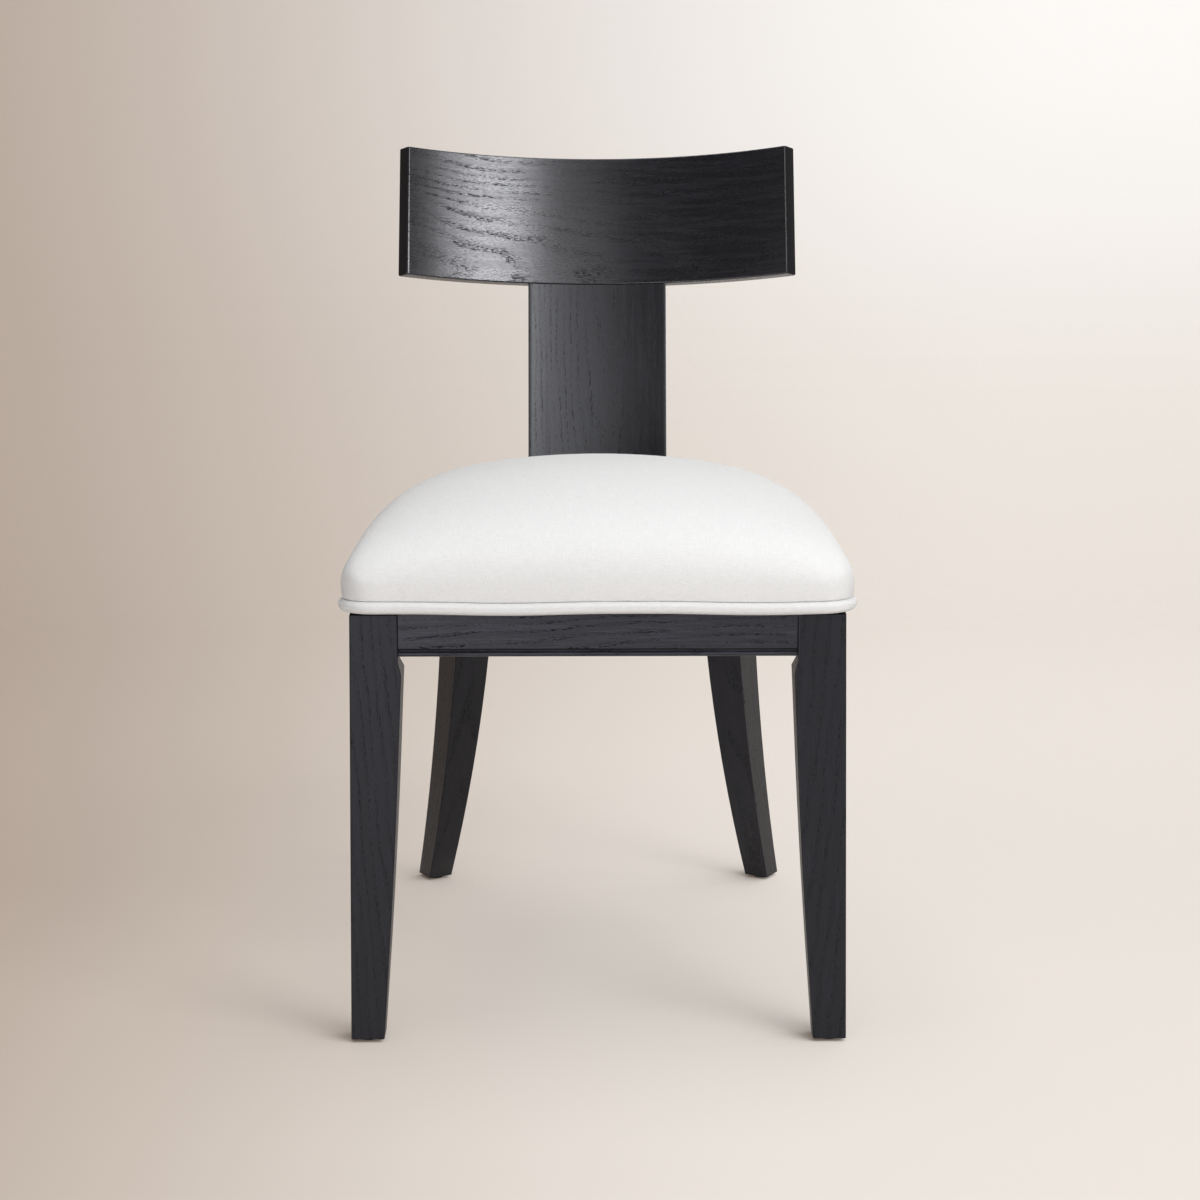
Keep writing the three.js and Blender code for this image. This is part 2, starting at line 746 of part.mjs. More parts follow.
// A point of the curved boards: an angle round the curve, a depth behind the front face and
// a height along the lean above the crest rail's lower edge.
function backPoint(angle, depth, rise) {
  const behind = (backRadius + depth) * Math.cos(angle) - backRadius;
  const x = (backRadius + depth) * Math.sin(angle);
  const y = crestBottomY + behind * Math.cos(backLean) + rise * Math.sin(backLean);
  const z = crestBottomZ - behind * Math.sin(backLean) + rise * Math.cos(backLean);
  return new THREE.Vector3(x, y, z);
}

// Outline of a curved board seen along the lean: the angle and depth of each corner point,
// anticlockwise from the front left end. The ends lie at an angle for each depth, and are eased.
function curvedOutline(endAngle, front, back, facets, ease) {
  const outline = [];
  const arc = (depth, from, to) => {
    for (let step = 0; step <= facets; step++) outline.push([from + ((to - from) * step) / facets, depth]);
  };
  const easedEnd = (depth) => endAngle(depth) - ease / (backRadius + depth);
  const side = [front + ease, back - ease].map((depth) => [endAngle(depth), depth]);
  arc(front, -easedEnd(front), easedEnd(front));
  if (ease > 0) outline.push(...side);
  arc(back, easedEnd(back), -easedEnd(back));
  if (ease > 0) outline.push(...side.map(([angle, depth]) => [-angle, depth]).reverse());
  return outline;
}

// An end cut square to the curve.
function radialEnd(angle) {
  return () => angle;
}

// An end cut square to the chord between two such ends.
function squareEnd(chord) {
  return (depth) => Math.asin(chord / 2 / (backRadius + depth));
}

function backRing(outline, rise) {
  return outline.map(([angle, depth]) => backPoint(angle, depth, rise));
}

// A ring of a curved board on a level plane.
function levelRing(outline, z) {
  return outline.map(([angle, depth]) => {
    const start = backPoint(angle, depth, 0);
    return backPoint(angle, depth, (z - start.z) / Math.cos(backLean));
  });
}

function crestHalfAngle() {
  return Math.asin(crestChord / 2 / backRadius);
}

function crestRail() {
  const half = crestHalfAngle();
  const rings = [];
  for (const [inset, rise] of easedLevels(crestHeight, crestEase)) {
    const flare = crestFlare * (1 / 2 - rise / crestHeight);
    const end = radialEnd(half + (flare - inset) / backRadius);
    const outline = curvedOutline(end, inset, boardThickness - inset, crestFacets, crestEase);
    rings.push(backRing(outline, rise));
  }
  return cut(loft(rings), dowels(gap));
}

// The inset and height of each level of a board whose lower and upper edges are rounded.
function easedLevels(height, radius) {
  const levels = [];
  for (let step = 0; step <= edgeSteps; step++) {
    const angle = ((Math.PI / 2) * step) / edgeSteps;
    levels.push([radius * (1 - Math.sin(angle)), radius * (1 - Math.cos(angle))]);
  }
  const upper = levels.map(([inset, rise]) => [inset, height - rise]).reverse();
  return [...levels, ...upper];
}

function splat() {
  const outline = curvedOutline(squareEnd(splatWidth), 0, boardThickness, splatFacets, splatEase);
  const board = loft([levelRing(outline, frameTop + gap), backRing(outline, -gap)]);
  return cut(joined(board, [splatTenon(0)]), dowels(gap));
}

// The splat's tenon, or with a clearance the mortise for it in the rear rail.
function splatTenon(grow) {
  const half = Math.asin(splatTenonWidth / 2 / backRadius) + grow / backRadius;
  const middle = boardThickness / 2;
  const front = middle - splatTenonThickness / 2 - grow;
  const back = middle + splatTenonThickness / 2 + grow;
  const outline = curvedOutline(radialEnd(half), front, back, splatFacets, 0);
  const top = grow > 0 ? frameTop + overrun : frameTop + tenonRoot;
  return loft([levelRing(outline, frameTop - splatTenonDepth - grow), levelRing(outline, top)]);
}

function dowels(grow) {
  return dowelPlaces.map((place) => dowel(place, grow));
}

function dowel(place, grow) {
  const middle = boardThickness / 2;
  const angle = Math.asin((place * dowelSpacing) / (backRadius + middle));
  const half = dowelLength / 2 + grow;
  return rod(backPoint(angle, middle, -half), backPoint(angle, middle, half), dowelRadius + grow);
}

// Seat

// Outline of the seat, a rounded trapezoid, moved outwards by an offset.
function seatOutline(offset) {
  const { front, rear } = sideLine();
  const slope = (rear.x - front.x) / (rear.y - front.y);
  const lean = Math.sqrt(1 + slope ** 2);
  const sideX = (y) => front.x + apronRecess + slope * (y - front.y) + offset * lean;
  const frontY = -offset;
  const backY = seatBack + offset;
  const corners = [
    new THREE.Vector2(-sideX(frontY), frontY), new THREE.Vector2(sideX(frontY), frontY),
    new THREE.Vector2(sideX(backY), backY), new THREE.Vector2(-sideX(backY), backY),
  ];
  return roundedOutline(corners, seatCornerRadius + offset, cornerSteps, sideSteps);
}

function ringAt(offset, z) {
  return seatOutline(offset).map((point) => new THREE.Vector3(point.x, point.y, z));
}

// Half the width of an outline at a distance behind the front of the seat.
function halfWidthAt(outline, y) {
  const widths = outline.map((point, i) => {
    const next = outline[(i + 1) % outline.length];
    const share = (y - point.y) / (next.y - point.y);
    return share >= 0 && share <= 1 ? Math.abs(THREE.MathUtils.lerp(point.x, next.x, share)) : 0;
  });
  return Math.max(...widths);
}

// The crown falls from its highest point to nothing at the widest outline: across the seat
// with its share of the way to the side, and along it with its share to the front or back.
function crownShare(point, outline) {
  const end = point.y < crownAt ? Math.min(...outline.map(({ y }) => y)) : Math.max(...outline.map(({ y }) => y));
  const along = Math.min((point.y - crownAt) / (end - crownAt), 1);
  const across = Math.min(Math.abs(point.x) / halfWidthAt(outline, point.y), 1);
  return (1 - across ** crossPower) ** (1 / crossRoll) * (1 - along ** lengthPower) ** (1 / lengthRoll);
}

// Rings of the crown from the widest line almost to the top: the widest outline drawn in
// towards the crown, each point raised by the crown's own fall.
function crownSkin(inset) {
  const centre = new THREE.Vector2(0, crownAt);
  const widest = seatOutline(bulge);
  const outline = seatOutline(bulge - inset);
  const rings = [ringAt(bulge - inset, widestZ)];
  for (let step = 1; step < crownRings; step++) {
    const share = 1 - (step / crownRings) ** crownSpread;
    rings.push(outline.map((point, i) => {
      const place = centre.clone().lerp(point, share);
      const rise = crownShare(centre.clone().lerp(widest[i], share), widest);
      return new THREE.Vector3(place.x, place.y, widestZ + (crownHeight - inset) * rise);
    }));
  }
  return rings;
}

// Side of the cushion from the seam over the welt out to the widest line.
function sideSkin(inset) {
  const seam = seamShares.map((share) => {
    const angle = Math.PI * share;
    const offset = weltOffset + seamRadius * Math.cos(angle);
    return ringAt(offset - inset, weltHeight + seamRadius * Math.sin(angle) + inset);
  });
  return [...seam, ringAt(bulge - bulgeEase - inset, widestZ - bulgeRise / 2)];
}

function crownPole(inset) {
  return new THREE.Vector3(0, crownAt, widestZ + crownHeight - inset);
}

function foamPad() {
  const inset = fabric + gap;
  const rings = [ringAt(skirtOffset - inset, boardTop), ...sideSkin(inset).slice(1), ...crownSkin(inset)];
  return domedLoft(rings, new THREE.Vector3(0, crownAt, boardTop), crownPole(inset));
}

function seatCover() {
  const under = skirtOffset - fabric - flangeWidth;
  const outer = [ringAt(skirtOffset, frameTop), ...sideSkin(0), ...crownSkin(0)];
  const inner = [ringAt(skirtOffset - fabric, boardBottom), ...sideSkin(fabric), ...crownSkin(fabric)];
  const rings = [...inner.reverse(), ringAt(under, boardBottom), ringAt(under, frameTop), ...outer];
  return domedLoft(rings, crownPole(fabric), crownPole(0));
}

function seatWelt() {
  return closedTube(ringAt(weltOffset, weltHeight), weltRadius, weltSides);
}

function seatBoard() {
  const outline = seatOutline(skirtOffset - fabric - gap);
  const middle = seatBack / 2;
  const vents = ventPlaces.map(([across, along]) => {
    const x = (across * ventSpacing) / 2;
    const y = middle + (along * ventSpacing) / 2;
    const low = new THREE.Vector3(x, y, boardBottom - overrun);
    return rod(low, low.clone().setZ(boardTop + overrun), ventRadius);
  });
  const pilots = [seatScrewPilot(frontInsideCorner()), seatScrewPilot(rearInsideCorner())];
  return cut(slab(outline, boardBottom, boardTop), [...vents, ...pilots, ...pilots.map(mirrored)]);
}

function dustCover() {
  const offset = skirtOffset - fabric - flangeWidth - dustInset;
  const { front, rear } = sideLine();
  const slope = (rear.x - front.x) / (rear.y - front.y);
  const sideX = (y) => front.x + slope * (y - front.y) + offset;
  const low = -offset;
  const high = seatBack + offset;
  const right = [
    [sideX(low) - dustCorner, low], [sideX(low + dustCorner), low + dustCorner],
    [sideX(high - dustCorner), high - dustCorner], [sideX(high) - dustCorner, high],
  ];
  const left = right.map(([x, y]) => [-x, y]).reverse();
  const outline = [...right, ...left].map(([x, y]) => new THREE.Vector2(x, y));
  return slab(outline, boardBottom - dustThickness, boardBottom);
}

// Glides: a nylon foot on a nail

function nailReach() {
  return nailLength - glideHeight + nailHeadLift;
}

function glide() {
  const pocketTop = nailHeadLift + nailHeadHeight + gap;
  const profile = [
    new THREE.Vector2(0, 0), new THREE.Vector2(glideRadius - glideEase, 0),
    new THREE.Vector2(glideRadius, glideEase), new THREE.Vector2(glideRadius, glideHeight),
    new THREE.Vector2(nailRadius + gap, glideHeight), new THREE.Vector2(nailRadius + gap, pocketTop),
    new THREE.Vector2(nailHeadRadius + gap, pocketTop), new THREE.Vector2(nailHeadRadius + gap, nailHeadLift - gap),
    new THREE.Vector2(0, nailHeadLift - gap),
  ];
  return upright(new THREE.LatheGeometry(profile, roundSides));
}

function glideNail() {
  const headTop = nailHeadLift + nailHeadHeight;
  const top = nailHeadLift + nailLength;
  const profile = [
    new THREE.Vector2(0, nailHeadLift), new THREE.Vector2(nailHeadRadius, nailHeadLift),
    new THREE.Vector2(nailHeadRadius, headTop), new THREE.Vector2(nailRadius, headTop),
    new THREE.Vector2(nailRadius, top - nailPoint), new THREE.Vector2(0, top),
  ];
  return upright(new THREE.LatheGeometry(profile, roundSides));
}

// A turned shape stood on end: its axis becomes +Z.
function upright(geometry) {
  return geometry.rotateX(Math.PI / 2);
}

// Assembly

const chair = new THREE.Group();

function add(name, geometry, finish) {
  const material = new THREE.MeshStandardMaterial(finish);
  const mesh = new THREE.Mesh(geometry, material);
  mesh.name = name;
  chair.add(mesh);
  return mesh;
}

function addPair(name, geometry, finish) {
  add(name.replace('SIDE', 'right'), geometry, finish);
  add(name.replace('SIDE', 'left'), mirrored(geometry), finish);
}

add('crest_rail', crestRail(), blackOak);
add('splat', splat(), blackOak);
dowelPlaces.forEach((place, i) => add(`crest_dowel_${i + 1}`, dowel(place, 0), beech));

add('front_apron', frontApron(), blackOak);
addPair('SIDE_apron', sideApron(), blackOak);
add('rear_rail', rearRail(), blackOak);
addPair('front_SIDE_leg', frontLeg(), blackOak);
addPair('rear_SIDE_leg', rearLeg(), blackOak);

const corners = [
  { end: 'front', insideCorner: frontInsideCorner(), leg: frontLegBody(gap), foot: frontFootCentre() },
  { end: 'rear', insideCorner: rearInsideCorner(), leg: rearLegBody(gap), foot: rearFootCentre() },
];

for (const { end, insideCorner, leg, foot } of corners) {
  const screws = blockScrews[end];
  addPair(`${end}_SIDE_corner_block`, cornerBlock(insideCorner, screws, leg), beech);
  for (const { into, tip, seat } of screws) {
    addPair(`${end}_SIDE_block_screw_${into}`, screw(tip, seat), zincSteel);
  }
  const line = seatScrewLine(insideCorner);
  addPair(`${end}_SIDE_seat_screw`, screw(line.tip, line.seat), zincSteel);
  addPair(`${end}_SIDE_glide`, glide().translate(foot.x, foot.y, 0), blackNylon);
  addPair(`${end}_SIDE_glide_nail`, glideNail().translate(foot.x, foot.y, 0), zincSteel);
}

add('seat_board', seatBoard(), birchPly);
add('foam_pad', foamPad(), paleFoam);
add('seat_cover', seatCover(), whiteLinen);
add('seat_welt', seatWelt(), whiteLinen);
add('dust_cover', dustCover(), blackCambric);

// The origin goes on the floor under the middle of the chair.
const extent = new THREE.Box3().setFromObject(chair, true);
chair.position.y = -(extent.min.y + extent.max.y) / 2;

export default chair;
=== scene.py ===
"""Looks of a klismos dining chair: black stained oak and a crowned seat in white linen.

Everything is in metres, in the chair's own frame: +Z is up and the chair faces -Y.
"""

import logging
import math
from dataclasses import dataclass, field
from enum import Enum
from functools import partial
from typing import Callable, Sequence

import bmesh
import bpy
import numpy as np
from mathutils import Euler, Matrix, Vector


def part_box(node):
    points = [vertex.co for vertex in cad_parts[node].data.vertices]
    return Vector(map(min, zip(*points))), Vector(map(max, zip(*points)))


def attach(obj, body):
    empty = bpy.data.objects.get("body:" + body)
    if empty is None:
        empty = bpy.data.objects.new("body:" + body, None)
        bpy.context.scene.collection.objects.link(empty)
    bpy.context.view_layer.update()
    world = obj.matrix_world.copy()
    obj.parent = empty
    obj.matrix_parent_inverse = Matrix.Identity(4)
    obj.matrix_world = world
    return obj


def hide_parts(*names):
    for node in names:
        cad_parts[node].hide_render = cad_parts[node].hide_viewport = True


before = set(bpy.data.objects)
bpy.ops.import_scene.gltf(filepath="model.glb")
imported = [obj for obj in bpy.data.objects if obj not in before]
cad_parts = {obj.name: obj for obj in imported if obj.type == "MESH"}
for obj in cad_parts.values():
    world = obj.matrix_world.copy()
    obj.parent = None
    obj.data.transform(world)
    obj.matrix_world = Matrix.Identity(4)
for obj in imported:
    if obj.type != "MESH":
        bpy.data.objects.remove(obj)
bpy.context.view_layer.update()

LOG = logging.getLogger("klismos_chair")
BODY = "root"
MM = 0.001
Material = bpy.types.Material
Piece = bpy.types.Object
Socket = bpy.types.NodeSocket
Sockets = bpy.types.NodeOutputs
Tree = bpy.types.NodeTree
Value = Socket | float | Sequence[float]
GrainMap = Callable[[np.ndarray], np.ndarray]
Refinement = Callable[[bmesh.types.BMesh], None]
Profile = list[tuple[float, float, float]]


def configure(thing: object, **settings: object) -> None:
    """Gives properties of a thing their values."""
    for key, value in settings.items():
        setattr(thing, key, value)


class Slot(Enum):
    """The record's material slots."""

    OAK = "black_oak"
    BEECH = "beech"
    PLYWOOD = "plywood"
    FOAM = "foam"
    LINEN = "white_linen"
    CAMBRIC = "black_cambric"
    STEEL = "zinc_steel"
    NYLON = "black_nylon"


class Side(Enum):
    """The two sides of the chair, by the sign of x."""

    LEFT = -1
    RIGHT = 1

    @property
    def word(self) -> str:
        """The side's name in the names of nodes."""
        return self.name.lower()


class Board(Enum):
    """The kinds of oak piece, each with its own cut and polish. The rails' oak is also painted
    lighter, standing in for the light on the aprons.
    """

    CREST = "crest"
    SPLAT = "splat"
    RAIL = "rail"
    LEG = "leg"


@dataclass(frozen=True)
class Patches:
    """Noise of a cell size in millimetres, whose values from low to high become 0 to 1."""

    cell: tuple[float, float, float]
    detail: int
    low: float
    high: float


class Graph:
    """Builds a node tree in few words."""

    def __init__(self, tree: Tree) -> None:
        """Works on a node tree, which it fills."""
        self.tree = tree

    def node(self, kind: str, inputs: dict | None = None, **settings: object) -> bpy.types.Node:
        """Adds a node.

        Args:
            kind: The node's type name.
            inputs: Values or output sockets for its inputs, by name or number.
            settings: Values for its own properties.

        Returns:
            The new node.
        """
        made = self.tree.nodes.new(kind)
        configure(made, **settings)
        for key, value in (inputs or {}).items():
            if isinstance(value, Socket):
                self.tree.links.new(value, made.inputs[key])
            else:
                made.inputs[key].default_value = value
        return made

    def first(self, kind: str, inputs: dict | None = None, **settings: object) -> Socket:
        """Adds a node and gives its first output."""
        return self.node(kind, inputs, **settings).outputs[0]

    def math(self, operation: str, *values: Value) -> Socket:
        """Adds a Math node on numbers or sockets and gives its result."""
        return self.first("ShaderNodeMath", dict(enumerate(values)), operation=operation)

    def vector(self, operation: str, *values: Value) -> Socket:
        """Adds a Vector Math node and gives its result: a number for LENGTH, or else a vector."""
        made = self.node("ShaderNodeVectorMath", dict(enumerate(values)), operation=operation)
        return made.outputs["Value" if operation == "LENGTH" else "Vector"]

    def in_mm(self, place: Socket) -> Socket:
        """A place in millimetres, from one in metres."""
        return self.vector("MULTIPLY", place, (1 / MM,) * 3)

    def object_place(self) -> Socket:
        """The place on the object, in millimetres."""
        return self.in_mm(self.node("ShaderNodeTexCoord").outputs["Object"])

    def stored(self, name: str) -> Socket:
        """The vector attribute of a name, in millimetres."""
        return self.in_mm(self.node("ShaderNodeAttribute", attribute_name=name).outputs["Vector"])

    def ramp(self, value: Socket, low: float, high: float,
             to: tuple[float, float] = (0.0, 1.0)) -> Socket:
        """Maps a range smoothly onto another.

        Args:
            value: The number's socket.
            low: Start of its range.
            high: End of its range.
            to: The range that it becomes.

        Returns:
            The result's socket.
        """
        inputs = {"Value": value, "From Min": low, "From Max": high, "To Min": to[0], "To Max": to[1]}
        return self.first("ShaderNodeMapRange", inputs, interpolation_type="SMOOTHSTEP")

    def noise(self, place: Socket, cell: Sequence[float], detail: float) -> bpy.types.Node:
        """Adds noise with cells of a given size in millimetres and octaves of detail."""
        scaled = self.vector("MULTIPLY", place, tuple(1 / size for size in cell))
        return self.node("ShaderNodeTexNoise", {"Vector": scaled, "Scale": 1.0, "Detail": detail})

    def patches(self, place: Socket, look: Patches) -> Socket:
        """Patches at a place in millimetres: 1 in them and 0 between them."""
        noise = self.noise(place, look.cell, look.detail)
        return self.ramp(noise.outputs["Fac"], look.low, look.high)

    def drift(self, place: Socket, cell: Sequence[float], detail: float, reach: Sequence[float]) -> Socket:
        """Moves a place by noise, up to half the reach along each axis."""
        shift = self.vector("SUBTRACT", self.noise(place, cell, detail).outputs["Color"], (0.5, 0.5, 0.5))
        return self.vector("MULTIPLY_ADD", shift, reach, place)

    def parts(self, vector: Socket) -> Sockets:
        """The x, y and z of a vector."""
        return self.node("ShaderNodeSeparateXYZ", {0: vector}).outputs

    def joined(self, **parts: Value) -> Socket:
        """A vector of its X, Y and Z."""
        return self.first("ShaderNodeCombineXYZ", parts)

    def marked(self, geometry: Socket, name: str, value: Socket, kind: str = "FLOAT") -> Socket:
        """Stores a value at each point of a geometry under a name."""
        inputs = {"Geometry": geometry, "Name": name, "Value": value}
        return self.first("GeometryNodeStoreNamedAttribute", inputs, data_type=kind, domain="POINT")

    def read(self, name: str, kind: str = "FLOAT") -> Socket:
        """Reads the values stored under a name."""
        made = self.node("GeometryNodeInputNamedAttribute", {"Name": name}, data_type=kind)
        return made.outputs["Attribute"]

    def mix(self, share: Socket, first: Value, second: Value) -> Socket:
        """Mixes two colours.

        Args:
            share: Share of the second colour.
            first: Colour or socket.
            second: Colour or socket.

        Returns:
            The colour's socket.
        """
        made = self.node("ShaderNodeMix", data_type="RGBA")
        for key, value in (("Factor_Float", share), ("A_Color", first), ("B_Color", second)):
            socket = next(s for s in made.inputs if s.identifier == key)
            if isinstance(value, Socket):
                self.tree.links.new(value, socket)
            else:
                socket.default_value = value
        return next(s for s in made.outputs if s.identifier == "Result_Color")

    def bump(self, height: Socket, strength: float, depth: float) -> Socket:
        """Turns a height from 0 to 1 into a normal, for a relief of a depth in metres."""
        return self.first("ShaderNodeBump", {"Height": height, "Strength": strength, "Distance": depth})


def shader_graph(name: str) -> tuple[Material, Graph]:
    """Starts a material.

    Args:
        name: The material's name.

    Returns:
        The material and a graph on its empty tree.
    """
    material = bpy.data.materials.new(name)
    material.use_nodes = True
    material.node_tree.nodes.clear()
    return material, Graph(material.node_tree)


def finish_shader(graph: Graph, **sockets: Value) -> None:
    """Ends a material in a Principled shader.

    Args:
        graph: The material's graph.
        sockets: Values or sockets for the shader, with underscores for spaces.
    """
    inputs = {key.replace("_", " "): value for key, value in sockets.items()}
    shader = graph.node("ShaderNodeBsdfPrincipled", inputs)
    graph.node("ShaderNodeOutputMaterial", {"Surface": shader.outputs["BSDF"]})


def colour(red: float, green: float, blue: float) -> tuple[float, float, float, float]:
    """An opaque colour in linear light."""
    return (red, green, blue, 1.0)


@dataclass(frozen=True)
class StainedOak:
    """Open-grain oak, stained black under a satin lacquer. It reads the attributes 'grain', the
    place in the board, and 'end_grain', which is 1 where the fibres are cut across."""

    board: Board
    roughness: float
    lacquer_ior: float
    openness: float
    stain: tuple = colour(0.0030, 0.0030, 0.0044)
    ridge: tuple = colour(0.0092, 0.0090, 0.0130)
    pore: tuple = colour(0.0012, 0.0012, 0.0015)
    gleam: tuple = colour(0.86, 0.88, 1.0)
    ring_pitch: float = 6.4
    heart_depth: float = 58.0
    heart_tilt: float = 0.075
    wander: float = 9.0
    wander_cell: tuple = (190, 46, 46)
    fibre: Patches = Patches((26, 0.7, 0.7), 2, 0.34, 0.66)
    flame: Patches = Patches((110, 6, 6), 2, 0.34, 0.68)
    dash: Patches = Patches((5.0, 0.68, 0.68), 1, 0.55, 0.60)
    speck: Patches = Patches((3.4, 0.48, 0.48), 1, 0.54, 0.62)
    porous: Patches = Patches((60, 12, 12), 1, 0.40, 0.58)
    relief: float = 0.25 * MM
    relief_strength: float = 0.14

    def material(self) -> Material:
        """Builds the oak.

        Returns:
            The material.
        """
        material, graph = shader_graph(f"black_stained_oak_{self.board.value}")
        place = graph.stored("grain")
        cut = graph.node("ShaderNodeAttribute", attribute_name="end_grain").outputs["Fac"]
        fibre, flame = graph.patches(place, self.fibre), graph.patches(place, self.flame)
        pores = self.pores(graph, place, self.early_wood(graph, place))
        bare = graph.math("MAXIMUM", pores, graph.ramp(cut, 0.55, 0.85, (0.0, 0.9)))
        tone = graph.math("MULTIPLY", fibre, graph.math("MULTIPLY_ADD", flame, 0.6, 0.4))
        wood = graph.mix(tone, self.stain, self.ridge)
        shade = graph.mix(bare, wood, self.pore)
        satin = graph.math("MULTIPLY_ADD", flame, 0.035, self.roughness)
        rough = graph.math("MULTIPLY_ADD", bare, 0.40, satin)
        shine = graph.math("MULTIPLY_ADD", bare, -0.40, 0.5)
        relief = graph.math("SUBTRACT", graph.math("MULTIPLY", fibre, 0.08), pores)
        normal = graph.bump(relief, self.relief_strength, self.relief)
        finish_shader(graph, Base_Color=shade, Roughness=rough, Normal=normal, IOR=self.lacquer_ior,
                      Specular_Tint=self.gleam, Specular_IOR_Level=shine)
        return material

    def early_wood(self, graph: Graph, place: Socket) -> Socket:
        """The porous part of each growth ring, round a heart that lies behind the board.

        Args:
            graph: The material's graph.
            place: Place in the board, in millimetres.

        Returns:
            A socket that is 1 in the early wood and 0 in the late wood.
        """
        parts = graph.parts(graph.drift(place, self.wander_cell, 2, (0, 2 * self.wander, 2 * self.wander)))
        deep = graph.math("ADD", parts[2], self.heart_depth)
        tilted = graph.math("MULTIPLY_ADD", parts[0], self.heart_tilt, deep)
        away = graph.vector("LENGTH", graph.joined(Y=parts[1], Z=tilted))
        rings = graph.math("DIVIDE", away, self.ring_pitch)
        return graph.ramp(graph.math("FRACT", rings), 0.12, 0.50, (1.0, 0.0))

    def pores(self, graph: Graph, place: Socket, early: Socket) -> Socket:
        """Open pores: short dashes along the grain, thick in the early wood and in patches.

        Args:
            graph: The material's graph.
            place: Place in the board, in millimetres.
            early: Socket that is 1 in the early wood.

        Returns:
            A socket that is 1 in a pore.
        """
        porous = graph.math("MULTIPLY", early, graph.patches(place, self.porous))
        thick = graph.math("MULTIPLY_ADD", porous, 0.90 * self.openness, 0.03)
        thin = graph.math("MULTIPLY_ADD", early, 0.35, 0.20 * self.openness)
        large = graph.math("MULTIPLY", graph.patches(place, self.dash), thick)
        small = graph.math("MULTIPLY", graph.patches(place, self.speck), thin)
        return graph.math("MINIMUM", graph.math("ADD", large, small), 1.0)


@dataclass(frozen=True)
class PlainWood:
    """Bare timber for what the seat hides. It reads the object's own coordinates."""

    name: str
    light: tuple
    dark: tuple
    cell: tuple[float, float, float]
    fleck: Patches = Patches((1.6, 1.6, 0.5), 1, 0.58, 0.72)
    roughness: float = 0.62
    relief: float = 0.2 * MM
    relief_strength: float = 0.2

    def material(self) -> Material:
        """Builds the timber.

        Returns:
            The material.
        """
        material, graph = shader_graph(self.name)
        place = graph.object_place()
        figure = graph.patches(place, Patches(self.cell, 3, 0.32, 0.70))
        fleck = graph.math("MULTIPLY", graph.patches(place, self.fleck), 0.35)
        shade = graph.mix(fleck, graph.mix(figure, self.dark, self.light), self.dark)
        rough = graph.math("MULTIPLY_ADD", figure, 0.12, self.roughness)
        normal = graph.bump(figure, self.relief_strength, self.relief)
        finish_shader(graph, Base_Color=shade, Roughness=rough, Normal=normal)
        return material


@dataclass(frozen=True)
class Linen:
    """Plain-weave white linen with slubs. It reads the attribute 'cloth': the way along the
    warp and across it."""

    thread: tuple = colour(0.745, 0.745, 0.745)
    gap: tuple = colour(0.660, 0.660, 0.665)
    slub: tuple = colour(0.830, 0.830, 0.825)
    pitch: float = 0.95
    wander_cell: tuple = (17, 17, 17)
    wander: tuple = (0.9, 0.9, 0.0)
    slubs: tuple = (Patches((11, 1, 1), 1, 0.40, 0.70), Patches((1, 13, 1), 1, 0.40, 0.70))
    relief: float = 0.28 * MM
    relief_strength: float = 0.45
    roughness: float = 0.88
    sheen: float = 0.14
    sheen_roughness: float = 0.5

    def material(self) -> Material:
        """Builds the linen.

        Returns:
            The material.
        """
        material, graph = shader_graph("white_linen")
        place = graph.stored("cloth")
        parts = graph.parts(graph.drift(place, self.wander_cell, 1, self.wander))
        waves = [graph.math("SINE", graph.math("MULTIPLY", way, math.pi / self.pitch)) for way in parts[:2]]
        weave = graph.math("MULTIPLY_ADD", graph.math("MULTIPLY", *waves), 0.5, 0.5)
        slubs = graph.math("MAXIMUM", *[graph.patches(place, look) for look in self.slubs])
        height = graph.math("MULTIPLY_ADD", slubs, 0.8, weave)
        # The weave pattern is partly painted shade: the darker gap colour stands for shade in the hollows
        # between the threads.
        threads = graph.mix(graph.ramp(weave, 0.1, 0.55), self.gap, self.thread)
        shade = graph.mix(graph.math("MULTIPLY", slubs, 0.42), threads, self.slub)
        normal = graph.bump(height, self.relief_strength, self.relief)
        finish_shader(graph, Base_Color=shade, Roughness=self.roughness, Normal=normal,
                      Sheen_Weight=self.sheen, Sheen_Roughness=self.sheen_roughness)
        return material


@dataclass(frozen=True)
class Cambric:
    """Thin black backing cloth. It reads the attribute 'cloth'."""

    fibre: tuple = colour(0.0150, 0.0150, 0.0155)
    bond: tuple = colour(0.0045, 0.0045, 0.0045)
    bonds_per_mm: float = 0.55
    cloud: Patches = Patches((24, 24, 24), 3, 0.3, 0.7)

    def material(self) -> Material:
        """Builds the cambric.

        Returns:
            The material.
        """
        material, graph = shader_graph("black_cambric")
        place = graph.stored("cloth")
        dots = graph.node("ShaderNodeTexVoronoi", {"Vector": place, "Scale": self.bonds_per_mm})
        bonded = graph.ramp(dots.outputs["Distance"], 0.25, 0.45)
        tone = graph.math("MULTIPLY", bonded, graph.patches(place, self.cloud))
        shade = graph.mix(tone, self.bond, self.fibre)
        finish_shader(graph, Base_Color=shade, Roughness=0.9, Normal=graph.bump(bonded, 0.4, 0.2 * MM))
        return material


